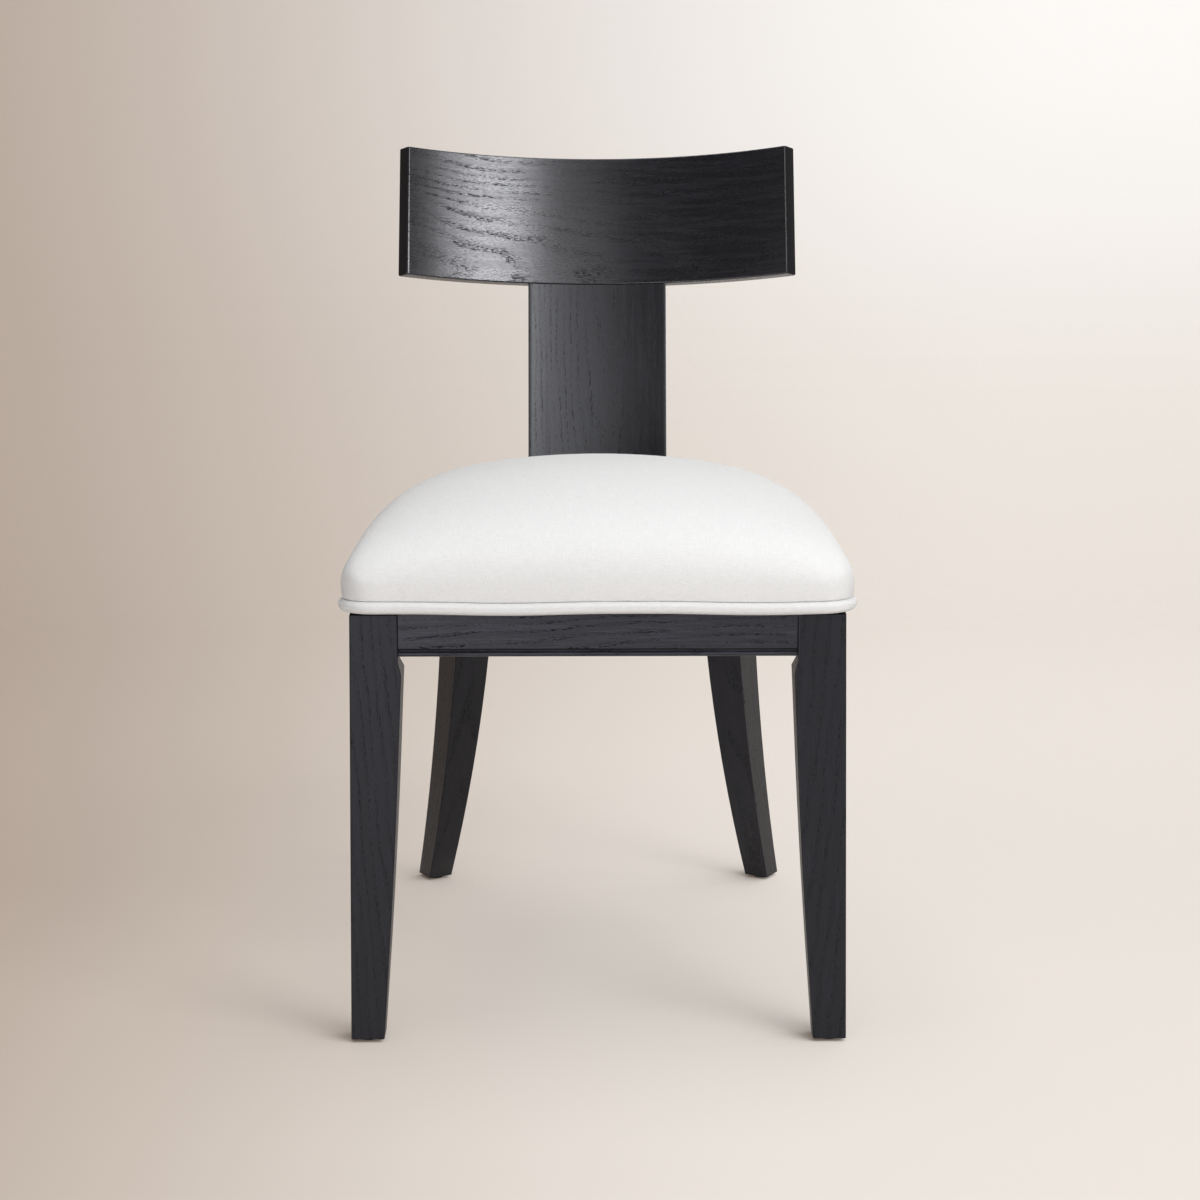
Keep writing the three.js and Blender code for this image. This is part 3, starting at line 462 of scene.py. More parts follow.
@dataclass(frozen=True)
class Moulded:
    """A matt stuff with an even fine relief, such as foam or nylon."""

    name: str
    light: tuple
    dark: tuple
    cell: float
    roughness: float
    metal: float = 0.0
    relief: float = 0.15 * MM
    cloud_cells: float = 14

    def material(self) -> Material:
        """Builds the stuff.

        Returns:
            The material.
        """
        material, graph = shader_graph(self.name)
        place = graph.object_place()
        grains = graph.patches(place, Patches((self.cell,) * 3, 2, 0.35, 0.65))
        cloud = graph.patches(place, Patches((self.cell * self.cloud_cells,) * 3, 2, 0.3, 0.7))
        shade = graph.mix(graph.math("MULTIPLY_ADD", grains, 0.5, graph.math("MULTIPLY", cloud, 0.5)),
                          self.dark, self.light)
        rough = graph.math("MULTIPLY_ADD", cloud, 0.1, self.roughness)
        normal = graph.bump(grains, 0.4, self.relief)
        finish_shader(graph, Base_Color=shade, Roughness=rough, Metallic=self.metal, Normal=normal)
        return material


def new_object(name: str, data: bpy.types.ID) -> Piece:
    """Puts a mesh, a lamp or a camera into the scene.

    Args:
        name: The object's name.
        data: The mesh, lamp or camera.

    Returns:
        The object.
    """
    made = bpy.data.objects.new(name, data)
    bpy.context.scene.collection.objects.link(made)
    return made


def mesh_object(name: str, points: np.ndarray, faces: Sequence[Sequence[int]],
                edges: Sequence[Sequence[int]] = ()) -> Piece:
    """Makes a smooth piece from points and faces, or a line from points and edges.

    Args:
        name: The piece's name.
        points: Corner points, one row each.
        faces: Indices of each face's corners.
        edges: Indices of each edge's ends.

    Returns:
        The object.
    """
    mesh = bpy.data.meshes.new(name)
    mesh.from_pydata([tuple(p) for p in points], edges, [tuple(f) for f in faces])
    mesh.shade_smooth()
    mesh.update()
    return new_object(name, mesh)


def turn_outwards(piece: Piece) -> None:
    """Turns a closed piece's faces outwards.

    Args:
        piece: The piece.
    """
    work = bmesh.new()
    work.from_mesh(piece.data)
    bmesh.ops.recalc_face_normals(work, faces=work.faces)
    work.to_mesh(piece.data)
    work.free()


def points_of(piece: Piece) -> np.ndarray:
    """Reads a piece's points.

    Args:
        piece: The piece.

    Returns:
        One row for each point.
    """
    values = np.empty(len(piece.data.vertices) * 3)
    piece.data.vertices.foreach_get("co", values)
    return values.reshape(-1, 3)


def move_points(piece: Piece, points: np.ndarray) -> None:
    """Moves a piece's points to new places."""
    piece.data.vertices.foreach_set("co", points.ravel())
    piece.data.update()


def store(piece: Piece, name: str, values: np.ndarray) -> None:
    """Keeps a vector for each point of a piece under a name."""
    attribute = piece.data.attributes.new(name, "FLOAT_VECTOR", "POINT")
    attribute.data.foreach_set("vector", np.asarray(values, dtype=np.float32).ravel())


def modify(piece: Piece, kind: str, **settings: object) -> bpy.types.Modifier:
    """Adds a modifier to a piece.

    Args:
        piece: The piece.
        kind: The modifier's type.
        settings: Values for its properties.

    Returns:
        The modifier.
    """
    made = piece.modifiers.new(kind.lower(), kind)
    configure(made, **settings)
    return made


def lengths_along(path: np.ndarray) -> np.ndarray:
    """The length of a path up to each of its points."""
    return np.concatenate(([0], np.cumsum(np.linalg.norm(np.diff(path, axis=0), axis=1))))


def bands(rings: Sequence[np.ndarray]) -> list[tuple[int, ...]]:
    """Faces between rings of points that follow each other.

    Args:
        rings: Indices of the points of each ring.

    Returns:
        Indices of each face's corners.
    """
    faces = []
    for above, below in zip(rings, rings[1:]):
        corners = (above, below, np.roll(below, -1), np.roll(above, -1))
        faces.extend(zip(*(corner.tolist() for corner in corners)))
    return faces


def fan(rim: np.ndarray, tip: int) -> list[tuple[int, ...]]:
    """Faces between a ring of points and one more, all by their indices."""
    return list(zip(rim.tolist(), [tip] * len(rim), np.roll(rim, -1).tolist()))


def apply_modifiers(piece: Piece) -> None:
    """Makes a piece's modifiers part of its mesh.

    Args:
        piece: The piece, whose modifiers are then removed.
    """
    graph = bpy.context.evaluated_depsgraph_get()
    whole = piece.evaluated_get(graph)
    mesh = bpy.data.meshes.new_from_object(whole, preserve_all_data_layers=True, depsgraph=graph)
    piece.modifiers.clear()
    piece.data = mesh
    mesh.name = piece.name


def dress(piece: Piece, finish: Material) -> None:
    """Gives a piece, or a node that stays, its material.

    Args:
        piece: The piece.
        finish: The material.
    """
    piece.data.materials.clear()
    piece.data.materials.append(finish)
    LOG.info("%s: %d faces", piece.name, len(piece.data.polygons))


def fit(piece: Piece, finish: Material, nodes: Sequence[str] = ()) -> None:
    """Dresses a piece and ties it to the chair.

    Args:
        piece: The piece.
        finish: Its material.
        nodes: The nodes that it stands for.
    """
    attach(piece, BODY)
    dress(piece, finish)
    if nodes:
        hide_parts(*nodes)


def corner_names(kind: str) -> list[str]:
    """Names of the four nodes of a kind at the chair's corners."""
    return [f"{end}_{side.word}_{kind}" for end in ("front", "rear") for side in Side]


@dataclass
class Joinery:
    """Oak pieces with their own shape and smooth eased edges, and grain that follows each."""

    finishes: dict[Board, Material]
    sharp: float = math.radians(50)
    flat: float = math.radians(0.3)
    merge: float = 0.001 * MM
    probe: float = 0.1 * MM
    weight: int = 90
    lowest_cut: tuple = (-2.0, -0.018, -0.006)
    highest_cut: tuple = (2.0, 0.018, 0.012)
    seed: int = 7

    def __post_init__(self) -> None:
        """Starts the draw of boards."""
        self.draw = np.random.default_rng(self.seed)

    def make(self, node: str, board: Board, grain: GrainMap, name: str,
             refine: Refinement | None = None) -> None:
        """Makes one oak piece.

        Args:
            node: The node that gives the shape.
            board: Its kind of board.
            grain: Gives places in the straight board for places on the piece.
            name: The piece's name.
            refine: Makes a curved piece's facets finer.
        """
        work = bmesh.new()
        work.from_mesh(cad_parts[node].data)
        bmesh.ops.remove_doubles(work, verts=work.verts, dist=self.merge)
        bmesh.ops.dissolve_limit(work, angle_limit=self.flat, verts=work.verts, edges=work.edges)
        if refine:
            refine(work)
        mesh = bpy.data.meshes.new(name)
        work.to_mesh(mesh)
        work.free()
        mesh.shade_smooth()
        mesh.set_sharp_from_angle(angle=self.sharp)
        piece = new_object(name, mesh)
        cut = self.draw.uniform(self.lowest_cut, self.highest_cut)
        store(piece, "grain", grain(points_of(piece)) + cut)
        self.mark_end_grain(piece, grain)
        modify(piece, "WEIGHTED_NORMAL", keep_sharp=True, weight=self.weight)
        apply_modifiers(piece)
        fit(piece, self.finishes[board], [node])

    def mark_end_grain(self, piece: Piece, grain: GrainMap) -> None:
        """Notes for each face how squarely it cuts the fibres.

        Args:
            piece: The piece.
            grain: Gives places in the straight board for places on the piece.
        """
        centres = np.array([face.center for face in piece.data.polygons])
        normals = np.array([face.normal for face in piece.data.polygons])
        ahead = grain(centres + normals * self.probe)[:, 0] - grain(centres)[:, 0]
        attribute = piece.data.attributes.new("end_grain", "FLOAT", "FACE")
        attribute.data.foreach_set("value", np.abs(ahead / self.probe).astype(np.float32))


@dataclass
class Back:
    """The crest rail and the splat: two boards on one curved, leaning face."""

    joinery: Joinery
    front: float
    lean: float = math.radians(14.96)
    radius: float = 0.351
    foot: tuple[float, float] = (0.5537, 0.680)
    flat_sawn: float = 0.030
    slice: float = 0.004
    tolerance: float = 0.01 * MM

    def unrolled(self, points: np.ndarray) -> np.ndarray:
        """Unrolls the curved boards.

        Args:
            points: Places on a board.

        Returns:
            For each place the way round the curve, up the lean and into the board.
        """
        y = points[:, 1] - self.front - self.foot[0]
        z = points[:, 2] - self.foot[1]
        rise = y * math.sin(self.lean) + z * math.cos(self.lean)
        reach = y * math.cos(self.lean) - z * math.sin(self.lean) + self.radius
        angle = np.arctan2(points[:, 0], reach)
        depth = np.hypot(points[:, 0], reach) - self.radius
        return np.column_stack((angle * self.radius, rise, depth))

    def rolled(self, places: np.ndarray) -> np.ndarray:
        """Rolls unrolled places back into the curve.

        Args:
            places: For each place the way round the curve, up the lean and into the board.

        Returns:
            Places on the board.
        """
        angle, rise = places[:, 0] / self.radius, places[:, 1]
        reach = (places[:, 2] + self.radius) * np.cos(angle) - self.radius
        x = (places[:, 2] + self.radius) * np.sin(angle)
        y = reach * math.cos(self.lean) + rise * math.sin(self.lean) + self.front + self.foot[0]
        z = rise * math.cos(self.lean) - reach * math.sin(self.lean) + self.foot[1]
        return np.column_stack((x, y, z))

    def refine(self, work: bmesh.types.BMesh) -> None:
        """Slices a board finely round its curve, so that no facet shows in the gloss.

        Args:
            work: The board.
        """
        ways = self.unrolled(np.array([vertex.co for vertex in work.verts]))
        for vertex, way in zip(work.verts, ways):
            vertex.co = way
        for cut in np.arange(ways[:, 0].min() + self.slice, ways[:, 0].max(), self.slice):
            bmesh.ops.bisect_plane(work, geom=[*work.verts, *work.edges, *work.faces], dist=self.tolerance,
                                   plane_co=(cut, 0, 0), plane_no=(1, 0, 0))
        for vertex, place in zip(work.verts, self.rolled(np.array([vertex.co for vertex in work.verts]))):
            vertex.co = place

    def crest_grain(self, points: np.ndarray) -> np.ndarray:
        """Grain along the crest rail, with the heart low in the board."""
        return self.unrolled(points) - np.array((0, self.flat_sawn, 0))

    def splat_grain(self, points: np.ndarray) -> np.ndarray:
        """Grain up the splat."""
        return self.unrolled(points)[:, [1, 0, 2]]

    def build(self) -> None:
        """Makes both boards."""
        self.joinery.make("crest_rail", Board.CREST, self.crest_grain, "crest_rail_board", self.refine)
        self.joinery.make("splat", Board.SPLAT, self.splat_grain, "splat_board", self.refine)


@dataclass
class SeatFrame:
    """Legs, aprons and the rear rail."""

    joinery: Joinery
    front: float
    top: float
    leg_place: tuple[float, float] = (0.1392, 0.4787)
    leg_turn: float = math.radians(28.9)
    sabre_radius: float = 1.262
    sabre_upright: float = 0.095
    side_run: tuple[float, float] = (-0.0624, 0.4426)

    def upright(self, points: np.ndarray) -> np.ndarray:
        """Grain up a straight leg."""
        return points[:, [2, 0, 1]]

    def lengthwise(self, points: np.ndarray) -> np.ndarray:
        """Grain along the front apron or the rear rail."""
        return points[:, [0, 2, 1]]

    def side_grain(self, side: Side, points: np.ndarray) -> np.ndarray:
        """Grain along a side apron.

        Args:
            side: The side of the chair.
            points: Places on the apron.

        Returns:
            Places in the straight board.
        """
        run = np.array((side.value * self.side_run[0], self.side_run[1])) / math.hypot(*self.side_run)
        through = points[:, :2] @ np.array((-run[1], run[0]))
        return np.column_stack((points[:, :2] @ run, points[:, 2], through))

    def sabre_grain(self, side: Side, points: np.ndarray) -> np.ndarray:
        """Grain that follows a rear leg's sweep.

        Args:
            side: The side of the chair.
            points: Places on the leg.

        Returns:
            Places in the straight board.
        """
        drop = self.top + self.sabre_upright - points[:, 2]
        sweep = (drop**2 - self.sabre_upright**2) / (2 * self.sabre_radius)
        x = side.value * points[:, 0] - self.leg_place[0] - sweep * math.sin(self.leg_turn)
        y = points[:, 1] - self.front - self.leg_place[1] - sweep * math.cos(self.leg_turn)
        across = x * math.cos(self.leg_turn) - y * math.sin(self.leg_turn)
        through = x * math.sin(self.leg_turn) + y * math.cos(self.leg_turn)
        return np.column_stack((points[:, 2], across, through))

    def build(self) -> None:
        """Makes the legs, aprons and rail."""
        make = self.joinery.make
        make("front_apron", Board.RAIL, self.lengthwise, "front_apron_rail")
        make("rear_rail", Board.RAIL, self.lengthwise, "rear_seat_rail")
        for side in Side:
            word = side.word
            make(f"{word}_apron", Board.RAIL, partial(self.side_grain, side), f"{word}_apron_rail")
            make(f"front_{word}_leg", Board.LEG, self.upright, f"front_{word}_leg_post")
            make(f"rear_{word}_leg", Board.LEG, partial(self.sabre_grain, side), f"rear_{word}_sabre_leg")


@dataclass
class SeatPlan:
    """Plan of the seat: a trapezoid with rounded corners that can be moved outwards."""

    front: float
    depth: float = 0.4655
    half_front: float = 0.23884
    slope: float = -0.14096
    corner: float = 0.024
    arc_steps: int = 12

    def corners(self, offset: float) -> np.ndarray:
        """Corner points, anticlockwise from the front left.

        Args:
            offset: Distance outside the plan.

        Returns:
            Four rows of x and y.
        """
        lean = math.hypot(1, self.slope)
        ends = (-offset, self.depth + offset)
        halves = [self.half_front + self.slope * y + offset * lean for y in ends]
        signs = ((-1, 0), (1, 0), (1, 1), (-1, 1))
        return np.array([(sign * halves[end], self.front + ends[end]) for sign, end in signs])

    def arc(self, index: int, offset: float) -> np.ndarray:
        """The rounding of one corner.

        Args:
            index: The corner.
            offset: Distance outside the plan.

        Returns:
            Points from the side before to the side after.
        """
        corners = self.corners(offset)
        corner = corners[index]
        back = corners[index - 1] - corner
        ahead = corners[(index + 1) % 4] - corner
        back /= np.linalg.norm(back)
        ahead /= np.linalg.norm(ahead)
        half = math.acos(float(back @ ahead)) / 2
        radius = self.corner + offset
        bisector = (back + ahead) / np.linalg.norm(back + ahead)
        centre = corner + bisector * radius / math.sin(half)
        start = corner + back * radius / math.tan(half) - centre
        turns = np.linspace(0, math.pi - 2 * half, 2 * self.arc_steps + 1)
        x = start[0] * np.cos(turns) - start[1] * np.sin(turns)
        y = start[0] * np.sin(turns) + start[1] * np.cos(turns)
        return centre + np.column_stack((x, y))

    def along(self, side: np.ndarray, share: np.ndarray, offset: float) -> np.ndarray:
        """Points on the outline.

        Args:
            side: Side of each point: front, right, rear and left are 0 to 3.
            share: Share of the way from the middle of a corner to that of the next.
            offset: Distance outside the plan.

        Returns:
            One row of x and y for each point.
        """
        points = np.empty((len(side), 2))
        for index in range(4):
            first = self.arc(index, offset)[self.arc_steps:]
            last = self.arc((index + 1) % 4, offset)[:self.arc_steps + 1]
            path = np.concatenate((first, last))
            length = lengths_along(path)
            chosen = side == index
            for axis in range(2):
                points[chosen, axis] = np.interp(share[chosen] * length[-1], length, path[:, axis])
        return points

    def half_width(self, y: np.ndarray, offset: float) -> np.ndarray:
        """Half the width of the outline at places behind the chair's front."""
        edge = np.concatenate((self.arc(1, offset), self.arc(2, offset)))
        return np.interp(y, edge[:, 1], edge[:, 0])


@dataclass
class Cushion:
    """The crowned seat, as a grid of square rings round the crown and rings down the side."""

    plan: SeatPlan
    frame_top: float
    welt_height: float
    welt_offset: float
    welt_radius: float
    rings: int = 36
    bulge: float = 0.0068
    widest: float = 0.448
    crown: float = 0.0876
    crown_at: float = 0.184
    cross: tuple[float, float] = (1.85, 3.7)
    length: tuple[float, float] = (1.7, 2.6)
    tuck: float = 3.4 * MM
    tuck_share: float = 0.52
    fabric: float = 0.001
    flange: float = 0.020
    clearance: float = 0.3 * MM
    seam_from: float = math.radians(180)
    seam_to: float = math.radians(70)
    seam_steps: int = 8
    side_steps: int = 6
    fold_steps: int = 4
    cloth_steps: int = 12
    fine_steps: int = 4001
    fine_share: float = 0.4
    sag_depth: float = 1.6 * MM
    sag_count: int = 8
    sag_phase: float = 0.86
    sag_power: float = 1.5

    def __post_init__(self) -> None:
        """Lays out the grid."""
        span = range(-self.rings, self.rings + 1)
        grid = np.array([(i, j) for j in span for i in span])
        self.ring = np.abs(grid).max(axis=1)
        i, j, k = grid[:, 0], grid[:, 1], np.maximum(self.ring, 1)
        self.side = np.select([j == -self.ring, i == self.ring, j == self.ring], [0, 1, 2], 3)
        ways = [(i + k) / (2 * k), (j + k) / (2 * k), (k - i) / (2 * k)]
        self.share = np.select([self.side == 0, self.side == 1, self.side == 2], ways, (k - j) / (2 * k))
        self.edge = self.edge_indices()
        self.reach = self.even_reach()

    def edge_indices(self) -> np.ndarray:
        """Finds the outermost ring.

        Returns:
            Indices of its points, anticlockwise from the front left corner.
        """
        width = 2 * self.rings + 1
        steps = np.arange(width - 1)
        right, left = steps * width + width - 1, (width - 1 - steps) * width
        return np.concatenate((steps, right, width * width - 1 - steps, left))

    @property
    def centre(self) -> np.ndarray:
        """Place of the crown in plan."""
        return np.array((0.0, self.plan.front + self.crown_at))

    def rise(self, place: np.ndarray) -> np.ndarray:
        """Share of the crown's height at places in plan.

        Args:
            place: Rows of x and y.

        Returns:
            1 at the crown and 0 at the widest line.
        """
        y = place[:, 1] - self.plan.front
        ends = np.where(y < self.crown_at, -self.bulge, self.plan.depth + self.bulge)
        along = np.clip((y - self.crown_at) / (ends - self.crown_at), 0, 1)
        across = np.clip(np.abs(place[:, 0]) / self.plan.half_width(place[:, 1], self.bulge), 0, 1)
        side = (1 - across ** self.cross[0]) ** (1 / self.cross[1])
        return side * (1 - along ** self.length[0]) ** (1 / self.length[1])

    def top(self, side: np.ndarray, share: np.ndarray, reach: np.ndarray, inset: float) -> np.ndarray:
        """Places on the crown.

        Args:
            side: Side of the outline that each lies towards.
            share: Share of the way along that side.
            reach: Share of the way from the crown to the outline.
            inset: Distance under the cover's outer face.

        Returns:
            One row for each place.
        """
        place, drawn = (self.centre + (self.plan.along(side, share, offset) - self.centre) * reach[:, None]
                        for offset in (self.bulge, self.bulge - inset))
        rise = self.rise(place)
        half = self.plan.half_width(place[:, 1], self.bulge)
        low = np.sin(math.pi * np.clip(rise / self.tuck_share, 0, 1)) ** 2
        drawn[:, 0] *= 1 - self.tuck / half * low * np.clip(np.abs(place[:, 0]) / half, 0, 1) ** 4
        return np.column_stack((drawn, self.widest + (self.crown - inset) * rise))

    def even_reach(self) -> np.ndarray:
        """Spaces the rings evenly over the curve.

        Returns:
            The reach of each ring.
        """
        fine = 1 - np.linspace(1, 0, self.fine_steps) ** 3
        one = np.ones_like(fine)
        length = lengths_along(self.top(one.astype(int), one * self.fine_share, fine, 0.0))
        return np.interp(np.linspace(0, length[-1], self.rings + 1), length, fine)

    def sag(self, side: np.ndarray, share: np.ndarray) -> np.ndarray:
        """How far the welt hangs down along the outline."""
        turn = 2 * math.pi * ((side + share) / 4 * self.sag_count + self.sag_phase)
        return -self.sag_depth * (0.5 - 0.5 * np.cos(turn)) ** self.sag_power

    def side_profile(self, inset: float) -> Profile:
        """Profile of the side, from the widest line down to the seat board's underside.

        Args:
            inset: Distance under the cover's outer face.

        Returns:
            Offset, height and share of the welt's sag for each ring.
        """
        gap = self.welt_radius + self.clearance
        radius = gap + inset
        seam = math.acos((gap * math.cos(self.seam_to) - inset) / radius)
        profile = []
        end_x = self.welt_offset + radius * math.cos(seam)
        end_z = self.welt_height + radius * math.sin(seam)
        for step in range(1, self.side_steps):
            way = step / self.side_steps
            swell = self.bulge - inset - end_x
            profile.append((end_x + swell * (1 - way**3), self.widest + (end_z - self.widest) * way, way))
        for angle in np.linspace(seam, self.seam_from, self.seam_steps):
            x = self.welt_offset + radius * math.cos(angle)
            profile.append((x, self.welt_height + radius * math.sin(angle), 1.0))
        return profile

    def under_profile(self) -> Profile:
        """Profile of the cloth turned under the seat board.

        Returns:
            Offset, height and share of the welt's sag for each ring.
        """
        edge = self.welt_offset - self.welt_radius - self.clearance
        turn = 2 * self.fabric
        fold = [(edge - turn * (1 - math.cos(a)), self.frame_top + turn * (1 - math.sin(a)), 0.0)
                for a in np.linspace(0, math.pi / 2, self.fold_steps)]
        inner = edge - self.fabric - self.flange
        return [*fold, ((fold[-1][0] + inner) / 2, self.frame_top, 0.0), (inner, self.frame_top, 0.0)]

    def skin(self, inset: float, profile: Profile) -> tuple[np.ndarray, list]:
        """Points and faces of the crown and the rings below it.

        Args:
            inset: Distance under the cover's outer face.
            profile: Offset, height and sag share of each ring below the widest line.

        Returns:
            The points and the faces.
        """
        width = 2 * self.rings + 1
        points = [self.top(self.side, self.share, self.reach[self.ring], inset)]
        faces = [(a, a + 1, a + width + 1, a + width)
                 for j in range(width - 1) for a in range(j * width, j * width + width - 1)]
        side, share = self.side[self.edge], self.share[self.edge]
        for offset, height, hang in profile:
            outline = self.plan.along(side, share, offset)
            points.append(np.column_stack((outline, height + hang * self.sag(side, share))))
        below = width**2 + np.arange(len(profile) * len(self.edge)).reshape(len(profile), -1)
        return np.concatenate(points), faces + bands([self.edge, *below])

    def cloth_places(self, points: np.ndarray) -> np.ndarray:
        """The cloth's own coordinates: the way over the curve from the crown, in plan directions.

        Args:
            points: Points of the skin, rings last.

        Returns:
            One row for each point.
        """
        reach = self.reach[self.ring]
        before = np.tile((*self.centre, self.widest + self.crown), (len(reach), 1))
        length = np.zeros(len(reach))
        for step in np.linspace(0, 1, self.cloth_steps + 1)[1:]:
            place = self.top(self.side, self.share, reach * step, 0.0)
            length += np.linalg.norm(place - before, axis=1)
            before = place
        rings = np.concatenate((points[self.edge], points[len(reach):])).reshape(-1, len(self.edge), 3)
        drops = np.linalg.norm(np.diff(rings, axis=0), axis=2)
        lengths = np.concatenate((length, (length[self.edge] + np.cumsum(drops, axis=0)).ravel()))
        side, share = (np.concatenate((part, np.tile(part[self.edge], len(drops))))
                       for part in (self.side, self.share))
        way = self.plan.along(side, share, self.bulge) - self.centre
        way /= np.linalg.norm(way, axis=1)[:, None]
        return np.column_stack((way * lengths[:, None], np.zeros(len(points))))


@dataclass
class Padding:
    """A cloth simulation in which the cover settles over the foam, with its seam held."""

    pressure: float = 4.0
    frames: int = 20
    quality: int = 6
    mass: float = 0.25
    stretch: float = 18
    shear: float = 8
    bend: float = 2
    start_inset: float = 1.0 * MM
    settled_share: float = 0.5
    most: float = 0.9 * MM
    held_height: float = 0.444
    free_height: float = 0.462

    def settle(self, piece: Piece) -> np.ndarray:
        """Settles a cover.

        Args:
            piece: The cover's skin, whose points move.

        Returns:
            How far each point moved, which the foam under it follows.
        """
        rest = points_of(piece)
        free = np.clip((rest[:, 2] - self.held_height) / (self.free_height - self.held_height), 0, 1)
        normals = np.array([vertex.normal for vertex in piece.data.vertices])
        move_points(piece, rest - normals * (self.start_inset * free)[:, None])
        group = piece.vertex_groups.new(name="held")
        for index, share in enumerate(free):
            group.add([index], float(1 - share), "REPLACE")
        out = ((self.simulated(piece, group.name) - rest) * normals).sum(axis=1)
        piece.vertex_groups.clear()
        moved = normals * (self.most * np.tanh(out * self.settled_share / self.most) * free)[:, None]
        move_points(piece, rest + moved)
        return moved

    def simulated(self, piece: Piece, held: str) -> np.ndarray:
        """Runs the simulation.

        Args:
            piece: The skin.
            held: Name of the vertex group that stays in place.

        Returns:
            Where the points end.
        """
        cloth = modify(piece, "CLOTH")
        configure(cloth.settings, quality=self.quality, mass=self.mass, tension_stiffness=self.stretch,
                  compression_stiffness=self.stretch, shear_stiffness=self.shear, bending_stiffness=self.bend,
                  use_pressure=True, uniform_pressure_force=self.pressure, vertex_group_mass=held)
        cloth.settings.effector_weights.gravity = 0
        configure(cloth.point_cache, frame_start=1, frame_end=self.frames)
        scene = bpy.context.scene
        for step in range(1, self.frames + 1):
            scene.frame_set(step)
        ends = points_of(piece.evaluated_get(bpy.context.evaluated_depsgraph_get()))
        piece.modifiers.remove(cloth)
        scene.frame_set(1)
        return ends


